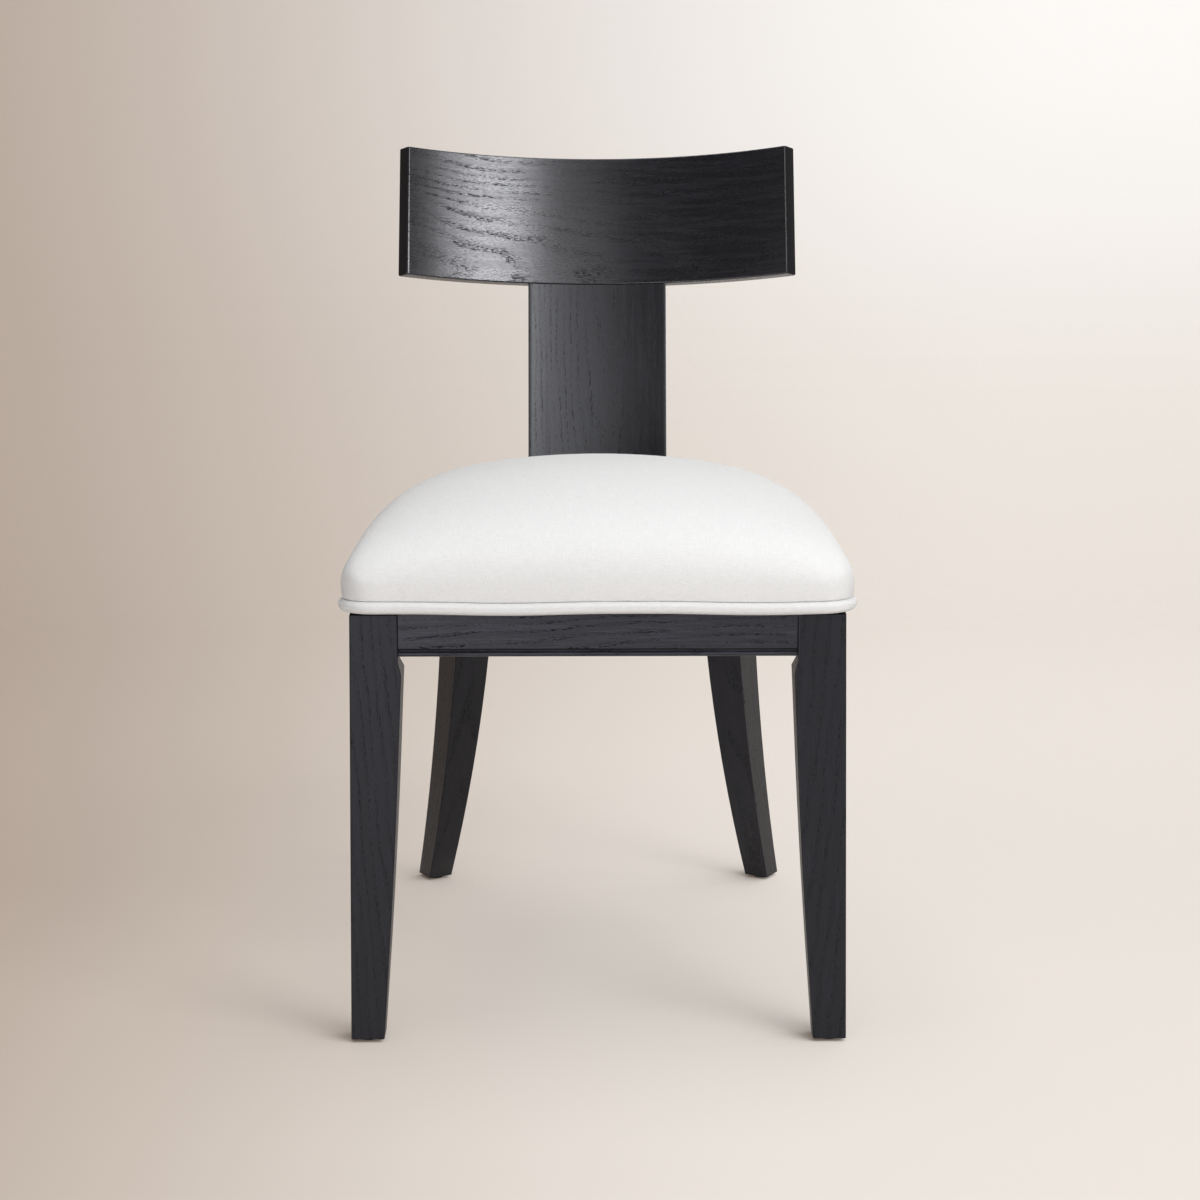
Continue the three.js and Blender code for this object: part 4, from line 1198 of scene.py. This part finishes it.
class Repeats:
    """Geometry node trees for what follows a path or sits at many places."""

    @staticmethod
    def tree(name: str, **kinds: str) -> tuple[Tree, Graph, Sockets]:
        """Starts a tree.

        Args:
            name: The tree's name.
            kinds: Socket type for each named input.

        Returns:
            The tree, a graph on it and its inputs.
        """
        tree = bpy.data.node_groups.new(name, "GeometryNodeTree")
        for label, kind in {"Geometry": "Geometry", **kinds}.items():
            tree.interface.new_socket(label, in_out="INPUT", socket_type=f"NodeSocket{kind}")
        tree.interface.new_socket("Geometry", in_out="OUTPUT", socket_type="NodeSocketGeometry")
        graph = Graph(tree)
        return tree, graph, graph.node("NodeGroupInput").outputs

    @staticmethod
    def end(graph: Graph, geometry: Socket, material: Socket) -> None:
        """Ends a tree in real geometry with its material.

        Args:
            graph: The tree's graph.
            geometry: What has been made.
            material: The material's socket.
        """
        real = graph.first("GeometryNodeRealizeInstances", {"Geometry": geometry})
        dressed = graph.first("GeometryNodeSetMaterial", {"Geometry": real, "Material": material})
        graph.node("NodeGroupOutput", {"Geometry": dressed})

    @classmethod
    def lay(cls, graph: Graph, given: Sockets, points: Socket, stood: Socket,
            turn: Socket | float, space: str) -> None:
        """Lays the input Piece at points, with a random turn about Z, and ends the tree.

        Args:
            graph: The tree's graph.
            given: The tree's inputs.
            points: Where the copies go.
            stood: How each copy stands before its turn.
            turn: The most that it turns either way.
            space: LOCAL for a turn about its own axis, or else GLOBAL.
        """
        limits = {"Min": graph.joined(Z=graph.math("MULTIPLY", turn, -1.0)), "Max": graph.joined(Z=turn),
                  "Seed": given["Seed"]}
        chance = graph.node("FunctionNodeRandomValue", limits, data_type="FLOAT_VECTOR").outputs["Value"]
        about = graph.first("FunctionNodeEulerToRotation", {0: chance})
        spun = graph.first("FunctionNodeRotateRotation", {"Rotation": stood, "Rotate By": about},
                           rotation_space=space)
        piece = graph.node("GeometryNodeObjectInfo", {"Object": given["Piece"]}).outputs["Geometry"]
        copies = {"Points": points, "Instance": piece, "Rotation": spun}
        cls.end(graph, graph.first("GeometryNodeInstanceOnPoints", copies), given["Material"])

    @classmethod
    def swept(cls) -> Tree:
        """A tree that sweeps a round section along a closed path.

        Returns:
            The tree, whose inputs are Radius, Sides, Twist and Material.
        """
        tree, graph, given = cls.tree("swept_cord", Radius="Float", Sides="Int", Twist="Float",
                                      Material="Material")
        path = graph.first("GeometryNodeMeshToCurve", {"Mesh": given["Geometry"]})
        circle = graph.first("GeometryNodeCurvePrimitiveCircle",
                             {"Resolution": given["Sides"], "Radius": given["Radius"]})
        lines = [graph.marked(line, name, graph.node("GeometryNodeSplineParameter").outputs["Length"])
                 for line, name in ((path, "way"), (circle, "turn"))]
        tube = graph.first("GeometryNodeCurveToMesh", {"Curve": lines[0], "Profile Curve": lines[1]})
        flat = graph.joined(X=graph.read("way"), Y=graph.read("turn"))
        twisted = graph.first("ShaderNodeVectorRotate", {"Vector": flat, "Angle": given["Twist"]},
                              rotation_type="Z_AXIS")
        cloth = graph.marked(tube, "cloth", twisted, "FLOAT_VECTOR")
        cls.end(graph, graph.first("GeometryNodeSetShadeSmooth", {"Geometry": cloth}), given["Material"])
        return tree

    @classmethod
    def along_path(cls) -> Tree:
        """A tree that lays copies of a piece along a closed path.

        Returns:
            The tree, whose inputs are Piece, Spacing, Jitter, Seed and Material.
        """
        tree, graph, given = cls.tree("pieces_along_path", Piece="Object", Spacing="Float", Jitter="Float",
                                      Seed="Int", Material="Material")
        path = graph.first("GeometryNodeMeshToCurve", {"Mesh": given["Geometry"]})
        spots = graph.node("GeometryNodeCurveToPoints", {"Curve": path, "Length": given["Spacing"]},
                           mode="LENGTH").outputs
        ahead = graph.first("FunctionNodeAlignRotationToVector", {"Vector": spots["Tangent"]}, axis="X")
        cls.lay(graph, given, spots["Points"], ahead, given["Jitter"], "GLOBAL")
        return tree

    @classmethod
    def at_points(cls) -> Tree:
        """A tree that sets a piece at each point, its +Z along the attribute 'axis'.

        Returns:
            The tree, whose inputs are Piece, Seed and Material.
        """
        tree, graph, given = cls.tree("pieces_at_points", Piece="Object", Seed="Int", Material="Material")
        axis = graph.read("axis", "FLOAT_VECTOR")
        stood = graph.first("FunctionNodeAlignRotationToVector", {"Vector": axis}, axis="Z")
        cls.lay(graph, given, given["Geometry"], stood, math.pi, "LOCAL")
        return tree

    @staticmethod
    def run(piece: Piece, tree: Tree, **values: object) -> None:
        """Runs a tree on a piece and keeps the result as its mesh.

        Args:
            piece: The piece.
            tree: The tree.
            values: Values for the named inputs.
        """
        made = modify(piece, "NODES", node_group=tree)
        for item in tree.interface.items_tree:
            if item.item_type == "SOCKET" and item.in_out == "INPUT" and item.name in values:
                made[item.identifier] = values[item.name]
        apply_modifiers(piece)


def closed_path(name: str, points: np.ndarray) -> Piece:
    """A closed line through points."""
    edges = [(index, (index + 1) % len(points)) for index in range(len(points))]
    return mesh_object(name, points, [], edges)


@dataclass
class Upholstery:
    """Cover, welt, foam, dust cover and its staples."""

    plan: SeatPlan
    frame_top: float
    welt_height: float
    linen: Material
    foam: Material
    cambric: Material
    steel: Material
    welt_radius: float = 0.006
    welt_offset: float = 0.0034
    welt_steps: int = 128
    welt_sides: int = 24
    welt_start: float = 2.5
    foam_inset: float = 2.4 * MM
    dust_sag: float = 2.5 * MM
    dust_rings: int = 14
    dust_thickness: float = 0.4 * MM
    dust_side: int = 10
    hem: float = 0.012
    bias: float = math.radians(45)
    foam_foot: float = 1.5 * MM
    foam_margin: float = 1.0 * MM
    staple_inset: float = 0.006
    staple_spacing: float = 0.034
    staple_wire: float = 0.45 * MM
    staple_crown: float = 5.2 * MM
    staple_leg: float = 2.2 * MM
    staple_jitter: float = math.radians(9)
    cushion: Cushion = field(init=False)
    settled: np.ndarray = field(init=False)

    def __post_init__(self) -> None:
        """Sets out the cushion."""
        self.cushion = Cushion(self.plan, self.frame_top, self.welt_height, self.welt_offset,
                               self.welt_radius)
        self.settled = np.zeros((0, 3))

    def cover(self) -> None:
        """The linen cover, padded out and turned under the seat board."""
        shape = self.cushion
        points, faces = shape.skin(0.0, shape.side_profile(0.0) + shape.under_profile())
        piece = mesh_object("linen_seat_cover", points, faces)
        store(piece, "cloth", shape.cloth_places(points))
        self.settled = Padding().settle(piece)[:len(shape.ring)]
        modify(piece, "SUBSURF", levels=1, render_levels=1)
        modify(piece, "SOLIDIFY", thickness=shape.fabric, offset=-1)
        apply_modifiers(piece)
        fit(piece, self.linen, ["seat_cover"])

    def foam_pad(self) -> None:
        """The foam under the cover, cut flat on the seat board."""
        shape = self.cushion
        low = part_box("foam_pad")[0].z
        profile = [ring for ring in shape.side_profile(self.foam_inset) if ring[1] > low + self.foam_margin]
        profile.append((profile[-1][0] - self.foam_foot, low, 0.0))
        points, faces = shape.skin(self.foam_inset, profile)
        points[:len(self.settled)] += self.settled
        count = len(shape.edge)
        faces.append(tuple(range(len(points) - 1, len(points) - 1 - count, -1)))
        piece = mesh_object("foam_seat_pad", points, faces)
        turn_outwards(piece)
        fit(piece, self.foam, ["foam_pad"])

    def welt_path(self) -> np.ndarray:
        """The welt's centre line, which hangs down a little between its tacks.

        Returns:
            One row for each point, from the middle of the rear side.
        """
        side = np.repeat(np.arange(4), self.welt_steps)
        share = np.tile(np.arange(self.welt_steps) / self.welt_steps, 4)
        start = int(self.welt_start * self.welt_steps)
        outline = np.roll(self.plan.along(side, share, self.welt_offset), -start, axis=0)
        drop = np.roll(self.cushion.sag(side, share), -start)
        return np.column_stack((outline, self.welt_height + drop))

    def welt(self) -> None:
        """The self welt: a cord in a strip of the same linen, cut on the bias."""
        piece = closed_path("linen_welt", self.welt_path())
        Repeats.run(piece, Repeats.swept(), Radius=self.welt_radius, Sides=self.welt_sides, Twist=self.bias,
                    Material=self.linen)
        turn_outwards(piece)
        fit(piece, self.linen, ["seat_welt"])

    def dust_outline(self, inset: float) -> np.ndarray:
        """The dust cover's outline.

        Args:
            inset: Distance inside its edge.

        Returns:
            Corner points, anticlockwise.
        """
        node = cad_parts["dust_cover"]
        places = np.unique(np.round([vertex.co[:2] for vertex in node.data.vertices], 6), axis=0)
        centre = places.mean(axis=0)
        corners = places[np.argsort(np.arctan2(places[:, 1] - centre[1], places[:, 0] - centre[0]))]
        ahead = np.roll(corners, -1, axis=0) - corners
        ahead /= np.linalg.norm(ahead, axis=1)[:, None]
        normals = np.column_stack((-ahead[:, 1], ahead[:, 0]))
        inward = normals + np.roll(normals, 1, axis=0)
        inward /= np.sum(inward * normals, axis=1)[:, None]
        return corners + inward * inset

    def dust_cover(self) -> None:
        """The cambric under the seat, hemmed and stapled, and slightly slack."""
        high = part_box("dust_cover")[1].z - self.dust_thickness
        outer, hemmed = self.dust_outline(0.0), self.dust_outline(self.hem)
        shares = np.arange(self.dust_side)[:, None] / self.dust_side
        rounds = [np.concatenate([a + (b - a) * shares for a, b in zip(ring, np.roll(ring, -1, axis=0))])
                  for ring in (outer, hemmed)]
        centre = hemmed.mean(axis=0)
        rows = [(ring, high - self.dust_thickness) for ring in rounds]
        for step in range(1, self.dust_rings):
            reach = 1 - step / self.dust_rings
            rows.append((centre + (rounds[1] - centre) * reach, high - self.dust_sag * (1 - reach**2)))
        points = [np.column_stack((place, np.full(len(place), height))) for place, height in rows]
        points.append(np.array([(*centre, high - self.dust_sag)]))
        count = len(rows) * len(rounds[0])
        rings = np.arange(count).reshape(len(rows), -1)
        faces = bands(rings) + fan(rings[-1], count)
        piece = mesh_object("cambric_dust_cover", np.concatenate(points), faces)
        store(piece, "cloth", points_of(piece))
        modify(piece, "SOLIDIFY", thickness=self.dust_thickness, offset=0)
        apply_modifiers(piece)
        fit(piece, self.cambric, ["dust_cover"])

    def staples(self) -> None:
        """Staples round the dust cover."""
        wire, crown, leg = self.staple_wire, self.staple_crown, self.staple_leg
        bar = bmesh.new()
        for x, z, length, tall in ((0, 0, crown, wire), (crown - wire, leg / 2, wire, leg / 2),
                                   (wire - crown, leg / 2, wire, leg / 2)):
            shape = Matrix.Translation((x, 0, z)) @ Matrix.Diagonal((length, wire, tall, 1))
            bmesh.ops.create_cube(bar, size=2.0, matrix=shape)
        bmesh.ops.bevel(bar, geom=bar.edges, offset=wire / 3, segments=2, affect="EDGES")
        mesh = bpy.data.meshes.new("staple")
        bar.to_mesh(mesh)
        bar.free()
        staple = new_object("staple", mesh)
        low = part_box("dust_cover")[1].z - 2.5 * self.dust_thickness - wire
        outline = self.dust_outline(self.staple_inset)
        piece = closed_path("dust_cover_staples", np.column_stack((outline, np.full(len(outline), low))))
        Repeats.run(piece, Repeats.along_path(), Piece=staple, Spacing=self.staple_spacing,
                    Jitter=self.staple_jitter, Seed=5, Material=self.steel)
        bpy.data.objects.remove(staple)
        fit(piece, self.steel)

    def build(self) -> None:
        """Makes the seat's soft pieces."""
        self.cover()
        self.welt()
        self.foam_pad()
        self.dust_cover()
        self.staples()


def turned(name: str, profile: Sequence[tuple[float, float]], segments: int,
           sharp: float = math.radians(40)) -> Piece:
    """A turned piece.

    Args:
        name: The object's name.
        profile: Radius and height of each ring. The first and last lie on the axis.
        segments: Points in a ring.
        sharp: Angle from which an edge stays sharp.

    Returns:
        The object.
    """
    angles = np.linspace(0, 2 * math.pi, segments, endpoint=False)
    circle = np.column_stack((np.cos(angles), np.sin(angles), np.zeros(segments)))
    rings = [circle * radius + (0, 0, height) for radius, height in profile[1:-1]]
    points = np.concatenate([*rings, [(0, 0, profile[0][1]), (0, 0, profile[-1][1])]])
    indices = np.arange(len(rings) * segments).reshape(len(rings), -1)
    faces = bands(indices) + fan(indices[0], len(points) - 2) + fan(indices[-1], len(points) - 1)
    piece = mesh_object(name, points, faces)
    turn_outwards(piece)
    piece.data.set_sharp_from_angle(angle=sharp)
    return piece


@dataclass
class Hardware:
    """Screws, glides and the glides' nails."""

    steel: Material
    nylon: Material
    side_out: tuple[float, float] = (0.9902, 0.1396)
    head_radius: float = 0.004
    head_height: float = 0.0026
    shank_radius: float = 0.0019
    thread_depth: float = 0.0004
    thread_pitch: float = 0.0018
    point: float = 0.0035
    segments: int = 24
    dish: tuple = (0.14, 0.28, 0.42, 0.56, 0.72)
    dish_share: float = 0.12
    dome_share: float = 0.8
    dome_start: float = 0.05
    dome_angles: tuple[float, float] = (0.95, 1.5)
    thread_rows: int = 84
    recess_width: float = 0.55 * MM
    recess_depth: float = 1.5 * MM
    glide_radius: float = 0.009
    glide_height: float = 0.0035
    glide_ease: float = 1.1 * MM
    glide_segments: int = 48
    sink: float = 1.9 * MM
    nail_hole: float = 0.0037
    nail_head: float = 3.2 * MM
    nail_shank: float = 1.15 * MM

    def screw_places(self) -> tuple[list[str], np.ndarray, np.ndarray]:
        """Where the screws are.

        Returns:
            The nodes' names, the places of their heads and their directions.
        """
        names, places, axes = [], [], []
        for end, ahead in (("front", -1.0), ("rear", 1.0)):
            for side in Side:
                out = Vector((side.value * self.side_out[0], self.side_out[1], 0))
                kinds = {f"block_screw_{end}": Vector((0, ahead, 0)), "block_screw_side": out,
                         "seat_screw": Vector((0, 0, 1))}
                for kind, axis in kinds.items():
                    names.append(f"{end}_{side.word}_{kind}")
                    low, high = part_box(names[-1])
                    places.append((low + high) / 2 - axis * self.half_length(high - low, axis))
                    axes.append(axis)
        return names, np.array(places), np.array(axes)

    def half_length(self, size: Vector, axis: Vector) -> float:
        """Half of a screw's length, from its box.

        Args:
            size: Size of the box round the screw.
            axis: The screw's direction.

        Returns:
            Half the length.
        """
        main = max(range(3), key=lambda index: abs(axis[index]))
        tilt = math.sqrt(max(0.0, 1 - axis[main] ** 2))
        return (size[main] - self.head_radius * tilt) / (2 * abs(axis[main]))

    def screw(self, length: float) -> Piece:
        """A pan-head screw with a cross recess, its head's top at 0 and its point up +Z.

        Args:
            length: Length over all.

        Returns:
            The object.
        """
        edge, tall, shank = self.head_radius, self.head_height, self.shank_radius
        head = [(0, 0.0), *((edge * r, tall * self.dish_share * r**3) for r in self.dish)]
        head += [(edge * math.sin(a), tall * (self.dome_start + (1 - math.cos(a)) * self.dome_share))
                 for a in np.linspace(*self.dome_angles, 5)]
        head += [(edge, tall), (shank, tall)]
        body = [(shank, h) for h in np.linspace(tall + 0.3 * MM, length - self.point, self.thread_rows)]
        tip = [(shank * (1 - t), length - self.point * (1 - t)) for t in (0.3, 0.6, 0.9)]
        piece = turned("screw", [*head, *body, *tip, (0, length)], self.segments)
        points = points_of(piece)
        radius = np.hypot(points[:, 0], points[:, 1])
        angle = np.arctan2(points[:, 1], points[:, 0])
        inner = radius < edge * 0.6
        threaded = inner & (points[:, 2] > tall * 2) & (radius > shank * 0.95)
        phase = np.mod(points[:, 2] / self.thread_pitch - angle / (2 * math.pi), 1)
        deep = self.thread_depth / shank * np.abs(phase * 2 - 1)
        points[:, :2] *= np.where(threaded, 1 - deep, 1.0)[:, None]
        arms = np.minimum(np.abs(points[:, 0]), np.abs(points[:, 1])) < self.recess_width
        recess = arms & inner & (points[:, 2] < tall * 0.5)
        points[recess, 2] += self.recess_depth * (1 - radius[recess] / (edge * 0.75))
        move_points(piece, points)
        return piece

    def set_at(self, name: str, sample: Piece, nodes: list[str], places: np.ndarray, axes: np.ndarray,
               finish: Material, slot: Slot) -> None:
        """Sets copies of a sample at places and makes them one piece.

        Args:
            name: The piece's name.
            sample: The sample, which is then removed.
            nodes: The nodes that the piece stands for.
            places: Where the copies go.
            axes: Direction of each copy's +Z.
            finish: Its material.
            slot: The record's slot for it; not used.
        """
        piece = mesh_object(name, places, [])
        store(piece, "axis", axes)
        Repeats.run(piece, Repeats.at_points(), Piece=sample, Seed=3, Material=finish)
        bpy.data.objects.remove(sample)
        fit(piece, finish, nodes)

    def feet(self, kind: str) -> tuple[list[str], np.ndarray, np.ndarray]:
        """Nodes of one kind under the four feet.

        Args:
            kind: glide or glide_nail.

        Returns:
            Their names, the middle of each one's underside and its way up.
        """
        names = corner_names(kind)
        boxes = [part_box(name) for name in names]
        places = [((low.x + high.x) / 2, (low.y + high.y) / 2, low.z) for low, high in boxes]
        return names, np.array(places), np.tile((0.0, 0.0, 1.0), (len(names), 1))

    def glides(self) -> None:
        """Nylon glides, each with a recess for its nail."""
        edge, tall, ease, hole = self.glide_radius, self.glide_height, self.glide_ease, self.nail_hole
        small, sink = 0.3 * MM, self.sink
        eased = [(edge - ease * (1 - math.sin(a)), ease * (1 - math.cos(a)))
                 for a in np.linspace(0, math.pi / 2, 6)]
        profile = [(0, sink), (hole * 0.5, sink), (hole, sink), (hole, small), (hole + small, 0.0), *eased,
                   (edge, tall - small), (edge - small, tall), (edge * 0.5, tall), (0, tall)]
        sample = turned("glide", profile, self.glide_segments)
        self.set_at("nylon_glides", sample, *self.feet("glide"), self.nylon, Slot.NYLON)

    def nails(self) -> None:
        """The nails through the glides."""
        low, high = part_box("front_left_glide_nail")
        length, head, shank = high.z - low.z, self.nail_head, self.nail_shank
        profile = [(0, 0.0), (head * 0.5, 0.02 * MM), (head * 0.85, 0.12 * MM), (head, 0.3 * MM),
                   (head, 0.75 * MM), (shank + 0.15 * MM, 0.9 * MM), (shank, 1.2 * MM),
                   (shank, length - 2.4 * MM), (0.4 * MM, length - 0.5 * MM), (0, length)]
        sample = turned("nail", profile, self.segments)
        self.set_at("glide_nails", sample, *self.feet("glide_nail"), self.steel, Slot.STEEL)

    def build(self) -> None:
        """Makes the screws, glides and nails."""
        low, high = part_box("front_left_seat_screw")
        self.set_at("frame_screws", self.screw(high.z - low.z), *self.screw_places(), self.steel, Slot.STEEL)
        self.glides()
        self.nails()


@dataclass
class Studio:
    """Camera, lamps, floor and backdrop."""

    front: float
    distance: float = 2.700
    height: float = 0.9588
    pitch: float = math.radians(11.011)
    yaw: float = math.radians(-0.045)
    roll: float = math.radians(-0.12)
    lens: float = 88.39
    sensor: float = 36.0
    wall_y: float = 2.15
    cove: float = 0.55
    cove_steps: int = 16
    reach: float = 9.0
    low_wall: float = 2.9
    # Reach and direction of the painted shadow beside the chair's feet.
    contact: float = 0.26
    key_way: tuple = (0.62, -0.55, 0.56)
    glow_share: float = 0.58
    far_glow_share: float = 1.0
    light_middle: float = -0.32
    light_spread: tuple[float, float, float] = (0.32, 0.42, 0.50)
    wall_from: tuple[float, float] = (0.05, 0.9)
    far_from: tuple[float, float] = (3.1, 5.5)
    front_from: tuple[float, float] = (-3.1, -1.9)
    contact_from: tuple[float, float] = (0.30, 0.97)
    surrounding: float = 0.05
    # Painted light: the shade colours make the paper darker to the left, and the light and glow colours make
    # it lighter to the right.
    paper_shade: tuple = colour(0.56, 0.475, 0.41)
    floor_light: tuple = colour(0.83, 0.77, 0.71)
    wall_light: tuple = colour(0.90, 0.88, 0.86)
    glow_shade: tuple = colour(0.54, 0.435, 0.36)
    floor_glow: tuple = colour(0.89, 0.828, 0.77)
    wall_glow: tuple = colour(1.0, 0.98, 0.96)
    distant: tuple = colour(0.60, 0.585, 0.57)
    floor_shadow: tuple = colour(0.14, 0.10, 0.075)

    def camera(self) -> None:
        """The camera at the photograph's place."""
        data = bpy.data.cameras.new("camera")
        configure(data, lens=self.lens, sensor_width=self.sensor)
        made = new_object("camera", data)
        turn = Euler((0, 0, self.yaw)).to_matrix() @ Euler((math.pi / 2 - self.pitch, 0, 0)).to_matrix()
        turn = turn @ Euler((0, 0, self.roll)).to_matrix()
        made.matrix_world = Matrix.Translation((0, self.front - self.distance, self.height)) @ turn.to_4x4()
        bpy.context.scene.camera = made

    def lamp(self, name: str, place: tuple, target: tuple, size: tuple[float, float], power: float) -> None:
        """An area lamp.

        Args:
            name: Its name.
            place: Where it stands.
            target: What it faces.
            size: Width and height.
            power: Watts.
        """
        data = bpy.data.lights.new(name, "AREA")
        configure(data, shape="RECTANGLE", size=size[0], size_y=size[1], energy=power)
        made = new_object(name, data)
        made.location = place
        made.rotation_euler = (Vector(target) - Vector(place)).to_track_quat("-Z", "Y").to_euler()

    def backdrop(self) -> None:
        """A paper sweep: floor, cove and wall, with low walls far off on the other sides."""
        bend = [(self.wall_y - self.cove * (1 - math.sin(angle)), self.cove * (1 - math.cos(angle)))
                for angle in np.linspace(0, math.pi / 2, self.cove_steps + 1)]
        profile = [(-self.reach, self.low_wall), (-self.reach, 0.0), *bend, (self.wall_y, self.reach)]
        points = np.array([(side * self.reach, y, z) for y, z in profile for side in (-1, 1)])
        faces = [(2 * i, 2 * i + 1, 2 * i + 3, 2 * i + 2) for i in range(len(profile) - 1)]
        for side in (-1, 1):
            ends = [(-self.reach, 0.0), (self.wall_y, 0.0), (self.wall_y, self.low_wall),
                    (-self.reach, self.low_wall)]
            first = len(points)
            points = np.concatenate((points, [(side * self.reach, y, z) for y, z in ends[::-side]]))
            faces.append(tuple(range(first, first + len(ends))))
        piece = mesh_object("paper_sweep", points, faces)
        piece.data.materials.append(self.paper())

    def paper(self) -> Material:
        """Pale paper, painted lighter to the right as if lit from there. What is seen of it, straight or in a
        gloss, glows in part, so that the shadows on it are soft and faint, and it carries a painted shadow
        close by the chair, away from the key. Its back is clear, so the chair shows from behind too.

        Returns:
            The material.
        """
        material, graph = shader_graph("paper")
        place = graph.node("ShaderNodeTexCoord").outputs["Object"]
        parts = graph.parts(place)
        growth, middle, least = self.light_spread
        half = graph.math("MAXIMUM", graph.math("MULTIPLY_ADD", parts[1], growth, middle), least)
        across = graph.math("DIVIDE", graph.math("SUBTRACT", parts[0], self.light_middle), half)
        # Painted light: the paper is coloured lighter to the right, as if a lamp stood there.
        light = graph.ramp(across, -1.0, 1.0)
        wall = graph.ramp(parts[2], *self.wall_from)
        body = graph.mix(light, self.paper_shade, graph.mix(wall, self.floor_light, self.wall_light))
        glow = graph.mix(light, self.glow_shade, graph.mix(wall, self.floor_glow, self.wall_glow))
        far = graph.math("MAXIMUM", graph.ramp(graph.vector("LENGTH", place), *self.far_from),
                         graph.ramp(parts[1], *self.front_from, (1.0, 0.0)))
        body = graph.mix(far, body, self.distant)
        glow = graph.mix(far, glow, self.distant)
        # Painted shadow: occlusion towards the key darkens the paper near the chair towards floor_shadow.
        way = graph.joined(**dict(zip("XYZ", self.key_way)))
        close = graph.node("ShaderNodeAmbientOcclusion", {"Distance": self.contact, "Normal": way}, samples=8)
        lit = graph.math("MAXIMUM", graph.ramp(close.outputs["AO"], *self.contact_from), far)
        matt = graph.first("ShaderNodeBsdfDiffuse", {"Color": body})
        tone = graph.mix(lit, self.floor_shadow, glow)
        # Painted light: the paper glows for the camera and in glosses, so its real shadows show only faintly.
        bright = graph.first("ShaderNodeEmission", {"Color": tone, "Strength": 1.0})
        rays = graph.node("ShaderNodeLightPath").outputs
        gloss = graph.math("MAXIMUM", rays["Is Glossy Ray"], rays["Is Transmission Ray"])
        seen = graph.math("MAXIMUM", rays["Is Camera Ray"], gloss)
        glowing = graph.ramp(far, 0.0, 1.0, (self.glow_share, self.far_glow_share))
        share = graph.math("MULTIPLY", seen, glowing)
        front = graph.first("ShaderNodeMixShader", {0: share, 1: matt, 2: bright})
        back = graph.node("ShaderNodeNewGeometry").outputs["Backfacing"]
        clear = graph.first("ShaderNodeBsdfTransparent")
        mixed = graph.first("ShaderNodeMixShader", {0: back, 1: front, 2: clear})
        graph.node("ShaderNodeOutputMaterial", {"Surface": mixed})
        return material

    def world(self) -> None:
        """A dim, even surrounding."""
        world = bpy.data.worlds.new("studio")
        bpy.context.scene.world = world
        world.use_nodes = True
        world.node_tree.nodes.clear()
        graph = Graph(world.node_tree)
        light = {"Color": colour(1.0, 1.0, 1.0), "Strength": self.surrounding}
        graph.node("ShaderNodeOutputWorld", {"Surface": graph.first("ShaderNodeBackground", light)})

    def build(self) -> None:
        """Sets up the studio."""
        bpy.context.scene.view_settings.view_transform = "Standard"
        self.camera()
        self.backdrop()
        self.world()
        crest, seat = (0.0, 0.25, 0.75), (0.0, 0.0, 0.4)
        self.lamp("key", (1.33, -1.72, 1.80), crest, (0.8, 0.9), 25.5)
        self.lamp("key_side", (1.80, -1.38, 1.70), crest, (0.6, 0.9), 12.0)
        self.lamp("top", (0.1, 0.0, 2.8), seat, (2.0, 2.0), 36.5)
        self.lamp("low_front", (-1.15, -3.2, 0.42), seat, (1.2, 0.8), 23.0)
        self.lamp("high_front", (0.5, -3.1, 1.9), seat, (1.6, 0.8), 9.0)
        self.lamp("low_left", (-1.9, -1.5, 0.4), seat, (1.0, 0.8), 7.0)
        self.lamp("wall", (1.1, 0.9, 1.5), (0.9, self.wall_y, 0.9), (1.2, 1.2), 8.0)


def main() -> None:
    """Builds the chair and its studio, piece by piece."""
    logging.basicConfig(level=logging.INFO, format="%(name)s: %(message)s")
    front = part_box("front_right_leg")[0].y
    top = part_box("front_apron")[1].z
    low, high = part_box("seat_welt")
    Studio(front).build()

    oaks = [StainedOak(Board.CREST, 0.25, 1.70, 1.0, gleam=colour(0.95, 0.95, 1.0)),
            StainedOak(Board.SPLAT, 0.29, 1.62, 0.7, gleam=colour(0.93, 0.94, 1.0)),
            # Painted light: the rails' stain and ridge are lighter than the other boards', standing in for
            # the light on the aprons.
            StainedOak(Board.RAIL, 0.30, 1.57, 1.0, stain=colour(0.0050, 0.0050, 0.0070),
                       ridge=colour(0.0260, 0.0260, 0.0360)),
            StainedOak(Board.LEG, 0.40, 1.46, 0.4)]
    beech = PlainWood("beech", colour(0.62, 0.42, 0.24), colour(0.47, 0.29, 0.15), (30, 5, 5)).material()
    plywood = PlainWood("birch_plywood", colour(0.60, 0.43, 0.25), colour(0.36, 0.23, 0.12),
                        (60, 60, 1.3)).material()
    foam = Moulded("seat_foam", colour(0.82, 0.76, 0.58), colour(0.66, 0.58, 0.38), 0.8, 0.92).material()
    steel = Moulded("zinc_steel", colour(0.62, 0.63, 0.65), colour(0.42, 0.43, 0.45), 0.6, 0.28,
                    metal=1.0, relief=0.02 * MM).material()
    nylon = Moulded("black_nylon", colour(0.022, 0.022, 0.022), colour(0.010, 0.010, 0.010),
                    0.4, 0.45).material()

    joinery = Joinery({oak.board: oak.material() for oak in oaks})
    Back(joinery, front).build()
    SeatFrame(joinery, front, top).build()
    Upholstery(SeatPlan(front), top, (low.z + high.z) / 2, Linen().material(), foam, Cambric().material(),
               steel).build()
    Hardware(steel, nylon).build()
    for name in ("crest_dowel_1", "crest_dowel_2", "crest_dowel_3", *corner_names("corner_block")):
        dress(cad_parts[name], beech)
    dress(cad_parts["seat_board"], plywood)

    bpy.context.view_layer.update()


if __name__ == "__main__":
    main()
